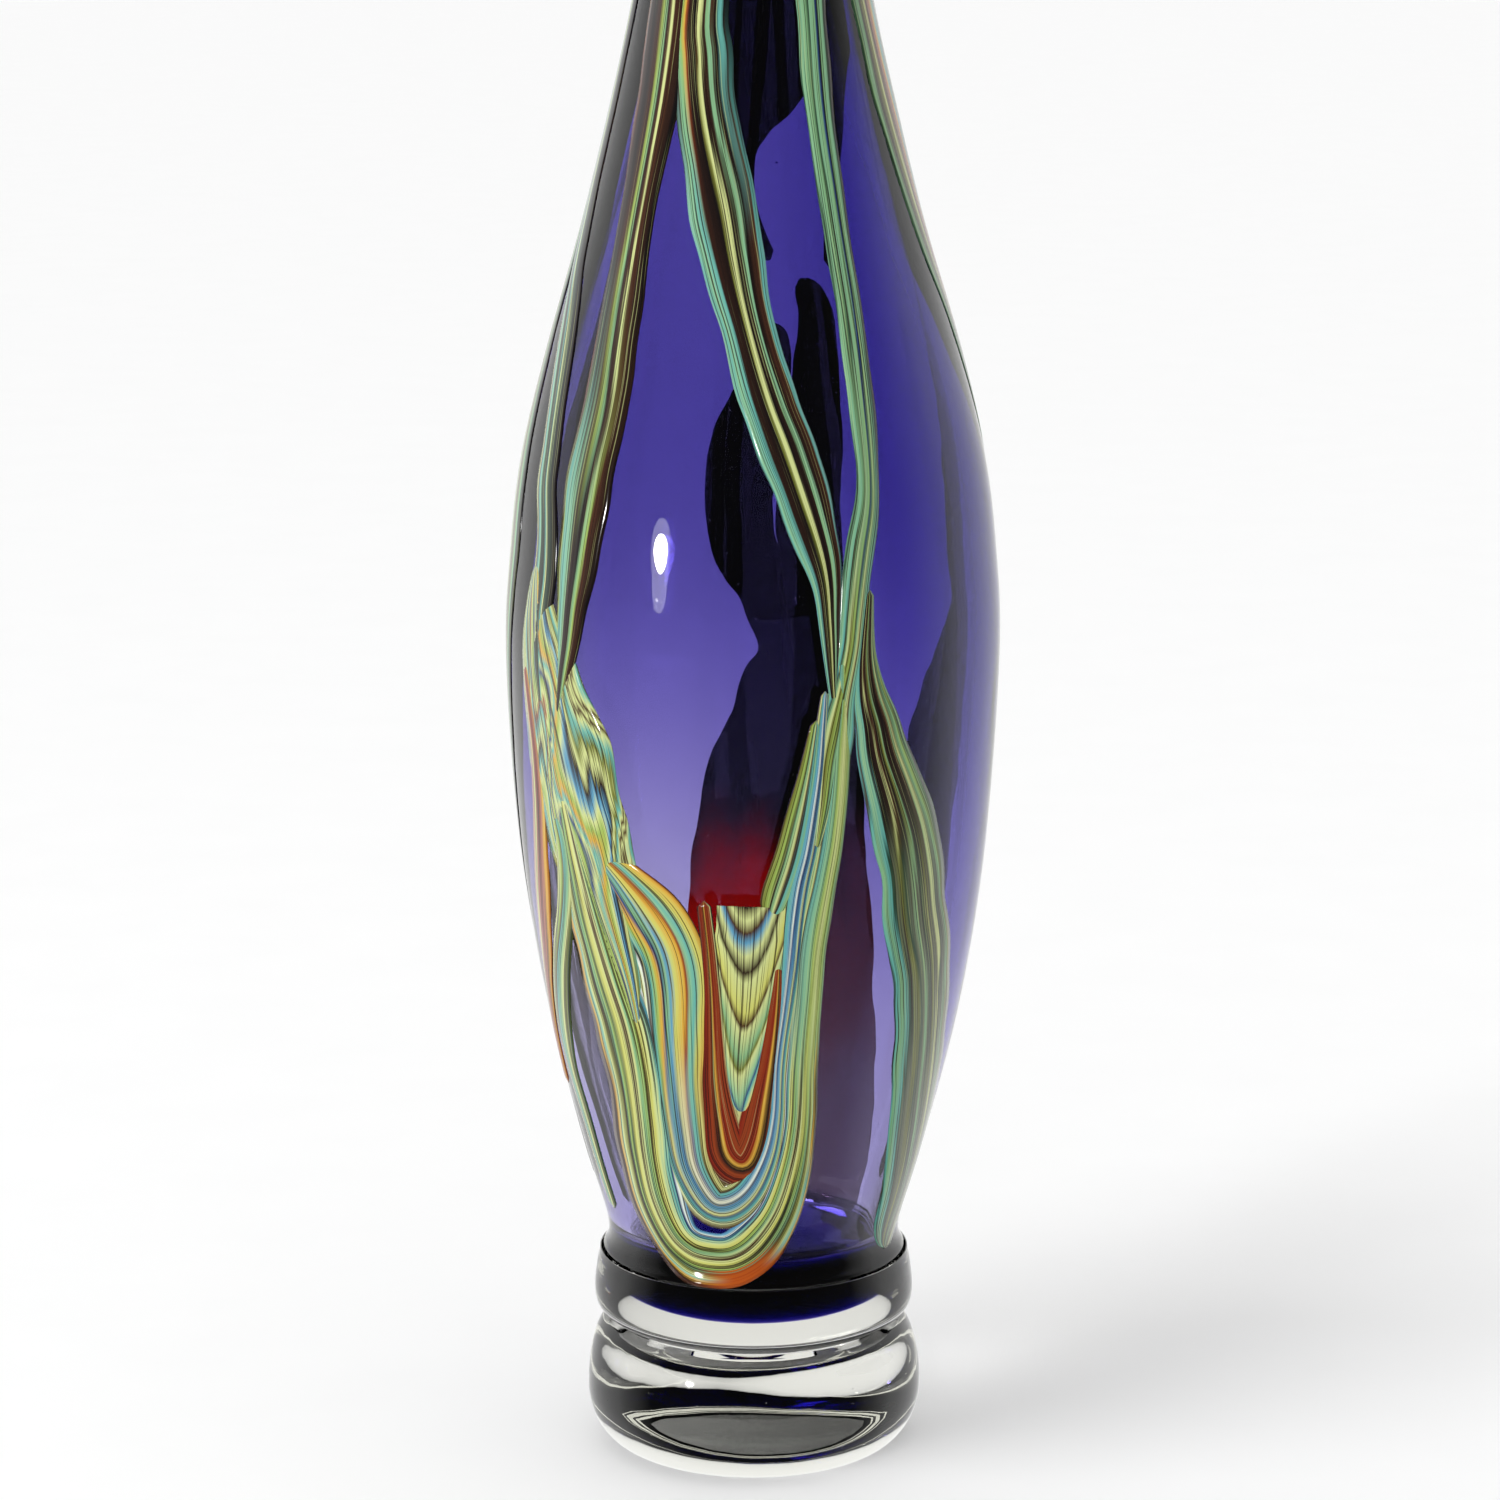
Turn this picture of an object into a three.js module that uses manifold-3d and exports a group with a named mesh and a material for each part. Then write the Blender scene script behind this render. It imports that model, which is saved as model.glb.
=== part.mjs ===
// Hand blown art glass vase: a violet bubble cased in clear glass, set in a clear collar on a clear
// foot, with streaked glass trails laid round the outside. Millimetres, +Z up. The origin is the
// centre of the ring that the foot stands on, and -Y is the front.

import * as THREE from "three";
import { mergeVertices } from "three/addons/utils/BufferGeometryUtils.js";
import Module from "manifold-3d";

const wasm = await Module();
wasm.setup();

// ---- Driving dimensions -------------------------------------------------------------------

// Between pieces that touch.
const FIT_GAP = 0.3;

// Foot: a thick pad with a rounded edge, hollowed underneath where the pontil was ground off.
const FOOT_HEIGHT = 28.4;
const FOOT_RADIUS = 36.5;
const FOOT_RING_RADIUS = 27;
const FOOT_WIDEST_AT = 12.5;
const PONTIL_RADIUS = 12;
const PONTIL_DEPTH = 2.5;

// The seat of the collar on the foot, inside the collar's girth, and the crease round it.
const SEAT_INSET = 4;
const CREASE_DEPTH = 2;
const CREASE_HEIGHT = 1;

// Collar: a short cup between the foot and the body, bulging past the body's base low down, with
// a rounded shoulder and a thin rim that laps up to the body.
const COLLAR_HEIGHT = 15.3;
const COLLAR_BULGE = 1.8;
const COLLAR_FLOOR = 3;
const COLLAR_WIDEST_RISE = 4.6;
const COLLAR_SHOULDER_DROP = 5;
const COLLAR_SHOULDER_INSET = 0.8;
const COLLAR_RIM = 0.5;

// Body: outer radii, the waist's pinch in from the base, and the rises from collar to waist, waist
// to belly, belly to neck, and neck to lip.
const BASE_RADIUS = 32.8;
const WAIST_PINCH = 1.1;
const BELLY_RADIUS = 52.2;
const NECK_RADIUS = 17;
const LIP_RADIUS = 25;
const WAIST_RISE = 6;
const BELLY_RISE = 125;
const NECK_RISE = 200;
const LIP_RISE = 35;

// Where the swell above the waist has turned, and where the shoulder has, as rises from the waist
// and from the belly.
const SWELL_RISE = 19.4;
const SHOULDER_RISE = 80;

// Glass: the clear casing outside, and the violet bubble that lines it.
const CASING_WALL = 3.2;
const CASING_FLOOR = 1.6;
const BUBBLE_WALL = 1.8;
const BUBBLE_FLOOR = 4;
const BOWL_RISE = 14;

// Trails: threads of coloured glass on the casing, thinner at their edges.
const TRAIL_THICKNESS = 0.8;
const TRAIL_EDGE_SHARE = 0.5;

// Finish: clear and violet glass is glossier than the trails.
const GLASS_ROUGHNESS = 0.05;
const TRAIL_ROUGHNESS = 0.12;

// Facets round a turned piece, round a quarter of a rounded edge, and round the lip. A trail's
// facets are at most this long, and small enough to stay this close to the curve of the body.
const FACETS = 32;
const EDGE_STEPS = 4;
const LIP_STEPS = 4;
const TRAIL_STEP = 10;
const TRAIL_SAG = 0.1;
const LEAST_STRIPS = 2;

// Rings of corners up the wall, at most this far apart in each stretch of it. One this close to
// the top of a bowl is left out.
const WAIST_RING_SPACING = 3;
const SWELL_RING_SPACING = 6.5;
const BELLY_RING_SPACING = 21.2;
const SHOULDER_RING_SPACING = 13.4;
const NECK_RING_SPACING = 20;
const LIP_RING_SPACING = 6;
const RING_SPACE = 2;

// Points that the body's outline is read from, and the distance at which corners are one.
const OUTLINE_SAMPLES = 400;
const MERGE_DISTANCE = 1e-4;

// A count of facets is rounded up, but not for less than this share of one.
const COUNT_SLACK = 0.001;

// How strongly a fuller swell brings the corners of the wall together.
const SWELL_POWER = 0.8;

// The body that the trails' routes are drawn on: the heights of its collar, waist, belly, neck and
// lip, and its radii at the waist and the belly.
const DRAWN_HEIGHTS = [44, 50, 175, 375, 410];
const DRAWN_WAIST_RADIUS = 31.7;
const DRAWN_BELLY_RADIUS = 52.2;

// ---- Radii and heights --------------------------------------------------------------------

const GIRTH = BELLY_RADIUS / DRAWN_BELLY_RADIUS;
const WAIST_RADIUS = BASE_RADIUS - WAIST_PINCH;

// How much closer corners stand up the wall than on the drawn body, to follow a fuller swell.
const SWELL = (BELLY_RADIUS - WAIST_RADIUS) / (DRAWN_BELLY_RADIUS - DRAWN_WAIST_RADIUS);
const CLOSENESS = Math.max(SWELL ** SWELL_POWER, 1);
const COLLAR_RADIUS = BASE_RADIUS + COLLAR_BULGE;
const SEAT_RADIUS = COLLAR_RADIUS - SEAT_INSET;
const CREASE_RADIUS = SEAT_RADIUS + CREASE_DEPTH;
const COLLAR_BOTTOM = FOOT_HEIGHT + FIT_GAP;
const COLLAR_TOP = COLLAR_BOTTOM + COLLAR_HEIGHT;
const WAIST_Z = COLLAR_TOP + WAIST_RISE;
const BELLY_Z = WAIST_Z + BELLY_RISE;
const NECK_Z = BELLY_Z + NECK_RISE;
const LIP_Z = NECK_Z + LIP_RISE;
const SWELL_Z = WAIST_Z + SWELL_RISE;
const SHOULDER_Z = BELLY_Z + SHOULDER_RISE;
const CASING_BOTTOM = COLLAR_BOTTOM + COLLAR_FLOOR + FIT_GAP;
const BUBBLE_BOTTOM = CASING_BOTTOM + CASING_FLOOR + FIT_GAP;
const CAVITY_BOTTOM = BUBBLE_BOTTOM + BUBBLE_FLOOR;

// How many equal steps, each at most this long, make up a length.
function stepsIn(length, step) {
  return Math.ceil((length * CLOSENESS) / step - COUNT_SLACK);
}

// ---- The body's outline -------------------------------------------------------------------

const swell = (share) => THREE.MathUtils.lerp(WAIST_RADIUS, BELLY_RADIUS, share);
const taper = (share) => THREE.MathUtils.lerp(BELLY_RADIUS, NECK_RADIUS, share);
const flare = (share) => THREE.MathUtils.lerp(NECK_RADIUS, LIP_RADIUS, share);

// The side's outline, from the collar to the lip, as radius and height.
const side = new THREE.SplineCurve([
  new THREE.Vector2(BASE_RADIUS, COLLAR_TOP),
  new THREE.Vector2(WAIST_RADIUS, WAIST_Z),
  new THREE.Vector2(swell(0.27), SWELL_Z),
  new THREE.Vector2(swell(0.62), WAIST_Z + 0.39 * BELLY_RISE),
  new THREE.Vector2(swell(0.87), WAIST_Z + 0.66 * BELLY_RISE),
  new THREE.Vector2(BELLY_RADIUS, BELLY_Z),
  new THREE.Vector2(taper(0.03), BELLY_Z + 0.12 * NECK_RISE),
  new THREE.Vector2(taper(0.105), BELLY_Z + 0.215 * NECK_RISE),
  new THREE.Vector2(taper(0.255), BELLY_Z + 0.32 * NECK_RISE),
  new THREE.Vector2(taper(0.505), BELLY_Z + 0.475 * NECK_RISE),
  new THREE.Vector2(taper(0.775), BELLY_Z + 0.68 * NECK_RISE),
  new THREE.Vector2(taper(0.95), BELLY_Z + 0.86 * NECK_RISE),
  new THREE.Vector2(NECK_RADIUS, NECK_Z),
  new THREE.Vector2(flare(0.25), NECK_Z + 0.55 * LIP_RISE),
  new THREE.Vector2(LIP_RADIUS, LIP_Z),
]);
const SIDE_SAMPLES = side.getSpacedPoints(OUTLINE_SAMPLES);

// The outer radius of the body at a height.
function sideRadius(height) {
  const above = SIDE_SAMPLES.findIndex((point) => point.y > height);
  if (above === 0) return SIDE_SAMPLES[0].x;
  if (above < 0) return SIDE_SAMPLES.at(-1).x;
  const low = SIDE_SAMPLES[above - 1];
  const high = SIDE_SAMPLES[above];
  return THREE.MathUtils.mapLinear(height, low.y, high.y, low.x, high.x);
}

// ---- Turned pieces ------------------------------------------------------------------------

// A quarter of an ellipse between two points, level at its start or upright there.
function quarter(from, to, levelAtStart) {
  const points = [];
  for (let step = 0; step <= EDGE_STEPS; step += 1) {
    const turn = (step / EDGE_STEPS) * (Math.PI / 2);
    const across = levelAtStart ? Math.sin(turn) : 1 - Math.cos(turn);
    const up = levelAtStart ? 1 - Math.cos(turn) : Math.sin(turn);
    points.push(new THREE.Vector2(
      from.x + (to.x - from.x) * across,
      from.y + (to.y - from.y) * up,
    ));
  }
  return points;
}

// The heights at which the wall has a ring of corners, closest together where it turns fastest,
// and closer on a body that swells more.
const WALL_HEIGHTS = [
  [COLLAR_TOP, WAIST_Z, WAIST_RING_SPACING],
  [WAIST_Z, SWELL_Z, SWELL_RING_SPACING],
  [SWELL_Z, BELLY_Z, BELLY_RING_SPACING],
  [BELLY_Z, SHOULDER_Z, SHOULDER_RING_SPACING],
  [SHOULDER_Z, NECK_Z, NECK_RING_SPACING],
  [NECK_Z, LIP_Z, LIP_RING_SPACING],
].flatMap(([low, high, spacing]) => {
  const rings = stepsIn(high - low, spacing);
  return Array.from({ length: rings }, (_, ring) => low + ((high - low) * (ring + 1)) / rings);
});

// A surface of the body from its bottom on the axis up to the lip, inset from the outside of the
// wall. The bottom is a bowl that rises to meet the wall.
function bodySurface(inset, bottom, bowlRise) {
  const start = bottom + bowlRise;
  const heights = [start, ...WALL_HEIGHTS.filter((height) => height > start + RING_SPACE)];
  const wall = heights.map((height) => {
    const slope = sideRadius(height + 0.5) - sideRadius(height - 0.5);
    const length = Math.hypot(slope, 1);
    return new THREE.Vector2(
      sideRadius(height) - inset / length,
      height + (inset * slope) / length,
    );
  });
  const bowl = quarter(new THREE.Vector2(0, bottom), wall[0], true);
  return [...bowl, ...wall.slice(1)];
}

// A blown shell between an outer and an inner surface, with a rounded lip.
function shell(outer, inner) {
  const outerEnd = outer.at(-1);
  const innerEnd = inner.at(-1);
  const middle = outerEnd.clone().add(innerEnd).multiplyScalar(0.5);
  const spoke = outerEnd.clone().sub(middle);
  const lip = [];
  for (let step = 1; step < LIP_STEPS; step += 1) {
    const turn = (step / LIP_STEPS) * Math.PI;
    lip.push(spoke.clone().rotateAround(new THREE.Vector2(), turn).add(middle));
  }
  return new THREE.LatheGeometry([...outer, ...lip, ...inner.toReversed()], FACETS);
}

function footGeometry() {
  const ring = new THREE.Vector2(FOOT_RING_RADIUS, 0);
  const widest = new THREE.Vector2(FOOT_RADIUS, FOOT_WIDEST_AT);
  const crease = new THREE.Vector2(CREASE_RADIUS, FOOT_HEIGHT - CREASE_HEIGHT);
  const seat = new THREE.Vector2(SEAT_RADIUS, FOOT_HEIGHT);
  const pontil = new THREE.Vector2(PONTIL_RADIUS, 0);
  const hollow = quarter(new THREE.Vector2(0, PONTIL_DEPTH), pontil, true);
  return new THREE.LatheGeometry([
    ...hollow,
    ...quarter(ring, widest, true),
    ...quarter(widest, crease, false).slice(1),
    seat,
    new THREE.Vector2(0, FOOT_HEIGHT),
  ], FACETS);
}

// The cup's inside is the casing's bottom, a fit gap away, and its rim ends just below the waist.
function collarGeometry(casingOuter) {
  const rimHeight = COLLAR_TOP - COLLAR_RIM;
  const inside = casingOuter
    .map(({ x, y }) => new THREE.Vector2(x > 0 ? x + FIT_GAP : 0, y - FIT_GAP))
    .filter((point) => point.y < rimHeight - COLLAR_RIM);
  const rim = new THREE.Vector2(BASE_RADIUS + FIT_GAP, rimHeight);
  const shoulder = new THREE.Vector2(
    COLLAR_RADIUS - COLLAR_SHOULDER_INSET,
    COLLAR_TOP - COLLAR_SHOULDER_DROP,
  );
  const outline = new THREE.SplineCurve([
    new THREE.Vector2(CREASE_RADIUS, COLLAR_BOTTOM + CREASE_HEIGHT),
    new THREE.Vector2(COLLAR_RADIUS, COLLAR_BOTTOM + COLLAR_WIDEST_RISE),
    shoulder,
    new THREE.Vector2(rim.x + COLLAR_RIM, rimHeight),
  ]).getPoints(2 * EDGE_STEPS);
  return new THREE.LatheGeometry([
    new THREE.Vector2(0, COLLAR_BOTTOM),
    new THREE.Vector2(SEAT_RADIUS, COLLAR_BOTTOM),
    ...outline,
    rim,
    ...inside.toReversed(),
  ], FACETS);
}

// ---- Trails -------------------------------------------------------------------------------

// Trail routes are drawn as angle, height and breadth, and they stretch with the body. The angle
// is in degrees from the front, to the right.
function realHeight(drawn) {
  const real = [COLLAR_TOP, WAIST_Z, BELLY_Z, NECK_Z, LIP_Z];
  const above = DRAWN_HEIGHTS.findIndex((level) => level >= drawn);
  const upper = above < 0 ? DRAWN_HEIGHTS.length - 1 : Math.max(above, 1);
  return THREE.MathUtils.mapLinear(
    drawn,
    DRAWN_HEIGHTS[upper - 1], DRAWN_HEIGHTS[upper],
    real[upper - 1], real[upper],
  );
}

const TRAILS = {
  sage_trail: {
    color: 0x7fa888,
    route: [
      [32, 392, 6], [31, 360, 6], [29, 330, 7], [28, 312, 7], [27, 293, 6.5], [28, 273, 6],
      [29, 253, 6], [29, 234, 6], [28, 216, 5], [25, 204, 6.5], [23, 192, 6], [22, 184, 5],
      [20, 175, 5], [18, 169, 8], [17, 164, 9],
    ],
  },
  centre_apex_trail: {
    color: 0x6b4a2a,
    route: [
      [-18, 386, 6], [-20, 350, 7], [-21, 313, 8], [-19, 301, 10], [-18, 292, 12], [-11, 273, 14],
      [-7, 262, 13], [-2, 249, 11], [4, 234, 11.5], [8, 225, 12], [12, 214, 11], [15, 205, 9],
      [16, 198, 6.5], [16, 190, 4.5], [16, 181, 3], [16, 177, 1.5],
    ],
  },
  left_apex_trail: {
    color: 0x51412c,
    route: [
      [-46, 380, 7], [-45, 345, 9], [-44, 312, 12], [-43, 292, 12], [-44, 272, 10],
      [-43, 253, 11], [-42, 235, 12.5], [-43, 222, 13], [-44, 212, 13.5], [-45, 200, 11.5],
      [-46, 191, 8], [-46, 184, 6], [-44, 180, 3],
    ],
  },
  outer_loop_trail: {
    color: 0xb9c98a,
    route: [
      [19, 162, 4], [19, 155, 4], [18, 145, 4], [16, 136, 5], [14, 128, 6], [14, 120, 6],
      [13, 110, 6], [13, 97, 7], [14, 80, 7.5], [12, 70, 9], [8, 62, 10.5], [1, 55.5, 12],
      [-7, 51.5, 12.5], [-15, 50.5, 12], [-23, 52, 12], [-29, 56, 13], [-32, 62, 13.5],
      [-32, 70, 13], [-30, 81, 12], [-29, 91, 13], [-32, 102, 13], [-36, 110, 11.5],
      [-38, 117, 9], [-39, 125, 7], [-39, 131, 6],
    ],
  },
  middle_loop_trail: {
    color: 0x8fb6a0,
    route: [
      [14, 162, 3], [14, 155, 4], [13, 145, 4.2], [10, 136, 4.8], [9, 128, 4.6], [9, 120, 4.2],
      [8, 110, 3.2], [6, 97, 3.2], [6, 84, 3.2], [4, 75, 4.5], [-1, 68, 6.5], [-8, 64, 9],
      [-14, 64, 9], [-18, 70, 10], [-18, 80, 9.5], [-16, 94, 8.5], [-18, 106, 10],
      [-21, 115, 13], [-23, 123, 15], [-25, 129, 13],
    ],
  },
  red_comb_line: {
    color: 0x7c2a18,
    route: [
      [-12, 129, 2.4], [-11, 119, 2.4], [-11, 110, 3], [-11, 101, 3.2], [-11, 92, 3.6],
      [-10, 84, 4.4], [-8, 78, 6], [-4, 75, 6], [0, 78, 5], [2, 86, 3], [4, 95, 1.8],
    ],
  },
  combed_tongue: {
    color: 0xa9c49a,
    route: [
      [-1, 127, 13], [-1, 119, 12], [-2, 111, 10.5], [-2, 104, 9.5], [-3, 97, 8], [-3, 91, 5.5],
      [-3, 87, 2.5],
    ],
  },
  hooked_thread: {
    color: 0x77802c,
    route: [[11, 158, 2.4], [8, 145, 2.8], [5, 137, 2.6], [2, 131, 2.2], [0, 128, 1.4]],
  },
  right_leg_trail: {
    color: 0x6f8f6c,
    route: [
      [27, 196, 2], [26, 186, 3.2], [26, 180, 5], [27, 174, 8], [29, 168, 10.5], [31, 161, 12.5],
      [35, 152, 15], [39, 143, 17], [42, 134, 18], [45, 124, 18.5], [49, 114, 18.5],
      [52, 105, 19], [57, 90, 20], [62, 75, 20], [65, 63, 18], [65, 54, 15], [62, 47, 11],
    ],
  },
  left_shoulder_trail: {
    color: 0x7da392,
    route: [
      [-84, 372, 5], [-83, 335, 6], [-82, 300, 8], [-81, 275, 9], [-76, 260, 9], [-70, 250, 9],
      [-66, 241, 9], [-63, 231, 8], [-61, 222, 8], [-60, 215, 8.5], [-57, 208, 7.5],
      [-55, 202, 6.5], [-55, 195, 7], [-56, 189, 9], [-58, 184, 12],
    ],
  },
  folded_trail: {
    color: 0x9cba9a,
    route: [
      [-58, 181, 14], [-54, 173, 21], [-50, 165, 25], [-46, 157, 26], [-44, 150, 23],
      [-41, 143, 18], [-38, 137, 15], [-36, 130, 14], [-34, 125, 12],
    ],
  },
  left_edge_trail: {
    color: 0xb4bd8c,
    route: [
      [-54, 146, 4], [-52, 140, 6.5], [-52, 132, 6.5], [-55, 122, 6.5], [-61, 110, 7.5],
      [-66, 97, 8], [-67, 88, 6.5], [-66, 78, 6], [-65, 68, 5], [-64, 56, 4],
    ],
  },
  rose_thread: {
    color: 0x9a5b4a,
    route: [
      [-65, 176, 3], [-63, 166, 4.5], [-62, 158, 5], [-62, 149, 6], [-63, 140, 7], [-65, 129, 8],
      [-68, 117, 7.5], [-72, 106, 5.5], [-76, 95, 4], [-79, 82, 3],
    ],
  },
  right_side_fall: {
    color: 0x4f4a38,
    route: [
      [60, 378, 6], [63, 345, 6.5], [67, 312, 7], [72, 291, 8.5], [76, 271, 9], [83, 253, 9.5],
      [94, 233, 11], [103, 214, 14], [106, 198, 14], [105, 184, 14], [108, 174, 18],
      [111, 165, 23], [113, 156, 28], [115, 148, 30], [115, 141, 27], [113, 134, 20],
      [109, 124, 14], [105, 108, 11], [101, 88, 9], [99, 68, 7], [98, 56, 6],
    ],
  },
  back_crown_trail: {
    color: 0x3a1c18,
    route: [
      [186, 378, 11], [186, 345, 17], [186, 312, 22], [186, 298, 21], [187, 290, 17],
      [189, 283, 12], [189, 276, 8], [183, 264, 5], [174, 254, 4],
    ],
  },
  back_right_fall: {
    color: 0x5b2a22,
    route: [
      [164, 250, 5], [159, 243, 9], [160, 234, 11], [162, 222, 14], [164, 213, 16],
      [165, 199, 16.5], [164, 186, 15], [162, 177, 12.5], [159, 166, 10.5], [160, 156, 13.5],
      [160, 145, 16], [160, 132, 19], [159, 118, 19], [155, 104, 18], [149, 88, 18],
      [143, 70, 18], [139, 56, 15],
    ],
  },
  back_left_fall: {
    color: 0x7a2c20,
    route: [
      [174, 240, 5], [174, 233, 9], [179, 222, 12.5], [183, 213, 15.5], [184, 199, 16.5],
      [181, 186, 15], [176, 177, 12.5], [171, 166, 10], [176, 156, 14], [180, 145, 16.5],
      [184, 132, 20], [186, 121, 20], [191, 110, 19], [195, 95, 17], [198, 78, 14],
      [200, 62, 10],
    ],
  },
  back_right_drip: {
    color: 0x42503a,
    route: [
      [122, 382, 7], [124, 345, 11], [126, 312, 13], [131, 302, 10], [133, 295, 5],
      [140, 282, 3], [148, 266, 2.5], [152, 253, 3],
    ],
  },
  back_left_trail: {
    color: 0x86a27c,
    route: [
      [222, 388, 6], [226, 350, 7], [230, 320, 8], [236, 295, 9], [240, 270, 9], [243, 240, 9.5],
      [246, 210, 11], [248, 185, 14], [247, 160, 16], [248, 135, 12], [250, 110, 9],
      [253, 85, 8], [255, 60, 7],
    ],
  },
  left_side_trail: {
    color: 0x5c6a5a,
    route: [
      [262, 375, 5], [264, 340, 6], [264, 305, 7], [268, 275, 8], [274, 245, 9], [279, 218, 11],
      [281, 198, 11], [278, 176, 9], [272, 150, 9], [266, 125, 10], [263, 100, 9],
      [266, 78, 8], [268, 58, 6],
    ],
  },
};

// The longest chord that keeps to a circle of a radius within the sag.
function chordOn(radius) {
  return Math.sqrt(8 * TRAIL_SAG * radius);
}

// A trail's solid: a box bent along its route on the casing, thinner at its edges. It can be
// grown on every side, to cut the room that a neighbour leaves for it.
function trailGeometry(route, grow = 0) {
  const drawnRadius = (drawn) => sideRadius(realHeight(drawn)) / GIRTH;
  const chord = (drawn) => chordOn(sideRadius(realHeight(drawn)));
  const points = route.map((station) => new THREE.Vector3(...station));
  const curve = new THREE.CatmullRomCurve3(points, false, "centripetal");
  const strips = points.map((point) => (point.z * GIRTH) / chord(point.y));
  const across = Math.max(LEAST_STRIPS, Math.ceil(Math.max(...strips)));
  const steps = points.map((point, index) => {
    const tangent = curve.getTangent(index / (points.length - 1));
    const turn = Math.abs(tangent.x) / Math.hypot(tangent.x, tangent.y);
    return turn > 0 ? Math.min(TRAIL_STEP, chord(point.y) / turn) : TRAIL_STEP;
  });
  const stretch = (LIP_Z - COLLAR_TOP) / (DRAWN_HEIGHTS.at(-1) - DRAWN_HEIGHTS[0]);
  const along = stepsIn(curve.getLength() * Math.max(stretch, 1), Math.min(...steps));
  const box = new THREE.BoxGeometry(2, 1, 1, across, along, 1);
  const position = box.getAttribute("position");
  for (let index = 0; index < position.count; index += 1) {
    const share = position.getY(index) + 0.5;
    const sideways = position.getX(index);
    const isTop = position.getZ(index) > 0;
    const middle = curve.getPointAt(share);
    const tangent = curve.getTangentAt(share);
    const middleRadius = drawnRadius(middle.y);
    const heading = new THREE.Vector2(
      THREE.MathUtils.degToRad(tangent.x) * middleRadius, tangent.y,
    ).normalize();
    const end = share === 0 ? -grow : share === 1 ? grow : 0;
    const reach = sideways * (middle.z / 2 + grow);
    const height = realHeight(middle.y - heading.x * reach + heading.y * end);
    const angle = THREE.MathUtils.degToRad(middle.x)
      + (heading.y * reach + heading.x * end) / middleRadius;
    const crown = 1 - (1 - TRAIL_EDGE_SHARE) * sideways ** 2;
    const lift = isTop ? FIT_GAP + TRAIL_THICKNESS * crown + 2 * grow : FIT_GAP - grow;
    const radius = sideRadius(height) + lift;
    position.setXYZ(index, radius * Math.sin(angle), -radius * Math.cos(angle), height);
  }
  return box;
}

// ---- Solids to cut with -------------------------------------------------------------------

function toManifold(geometry) {
  const bare = geometry.clone();
  bare.deleteAttribute("normal");
  bare.deleteAttribute("uv");
  const merged = mergeVertices(bare, MERGE_DISTANCE);
  return new wasm.Manifold(new wasm.Mesh({
    numProp: 3,
    vertProperties: new Float32Array(merged.getAttribute("position").array),
    triVerts: new Uint32Array(merged.index.array),
  }));
}

function toGeometry(solid) {
  const mesh = solid.getMesh();
  const geometry = new THREE.BufferGeometry();
  geometry.setAttribute("position", new THREE.BufferAttribute(mesh.vertProperties, 3));
  geometry.setIndex(new THREE.BufferAttribute(mesh.triVerts, 1));
  geometry.computeVertexNormals();
  return geometry;
}

// Each trail is laid up to the ones before it, a fit gap short of them.
function layTrails() {
  const laid = [];
  const meshes = [];
  for (const [name, { color, route }] of Object.entries(TRAILS)) {
    let solid = toManifold(trailGeometry(route));
    for (const room of laid) solid = solid.subtract(room);
    laid.push(toManifold(trailGeometry(route, FIT_GAP)));
    meshes.push(makeMesh(name, toGeometry(solid), color, TRAIL_ROUGHNESS));
  }
  return meshes;
}

// ---- Assembly -----------------------------------------------------------------------------

function makeMesh(name, geometry, color, roughness) {
  const material = new THREE.MeshStandardMaterial({ color, roughness, metalness: 0 });
  const mesh = new THREE.Mesh(geometry, material);
  mesh.name = name;
  return mesh;
}

// A lathe turns about +Y, so each turned piece is stood up onto +Z.
function turned(name, geometry, color) {
  return makeMesh(name, geometry.rotateX(Math.PI / 2), color, GLASS_ROUGHNESS);
}

const bubbleInset = CASING_WALL + FIT_GAP;
const casingOuter = bodySurface(0, CASING_BOTTOM, COLLAR_TOP - CASING_BOTTOM);
const casingInner = bodySurface(CASING_WALL, BUBBLE_BOTTOM - FIT_GAP, BOWL_RISE);
const bubbleOuter = bodySurface(bubbleInset, BUBBLE_BOTTOM, BOWL_RISE);
const bubbleInner = bodySurface(bubbleInset + BUBBLE_WALL, CAVITY_BOTTOM, BOWL_RISE);

const vase = new THREE.Group();
vase.name = "art_glass_vase";
vase.add(
  turned("foot_pad", footGeometry(), 0xe8ece8),
  turned("collar_cup", collarGeometry(casingOuter), 0xdfe5e1),
  turned("clear_casing", shell(casingOuter, casingInner), 0xcfd3dc),
  turned("violet_bubble", shell(bubbleOuter, bubbleInner), 0x3a2f96),
  ...layTrails(),
);

export default vase;
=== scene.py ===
import math

import bmesh
import bpy
from bpy.props import FloatProperty, FloatVectorProperty, PointerProperty
from mathutils import Matrix, Vector, noise
from mathutils.geometry import interpolate_bezier


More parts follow.
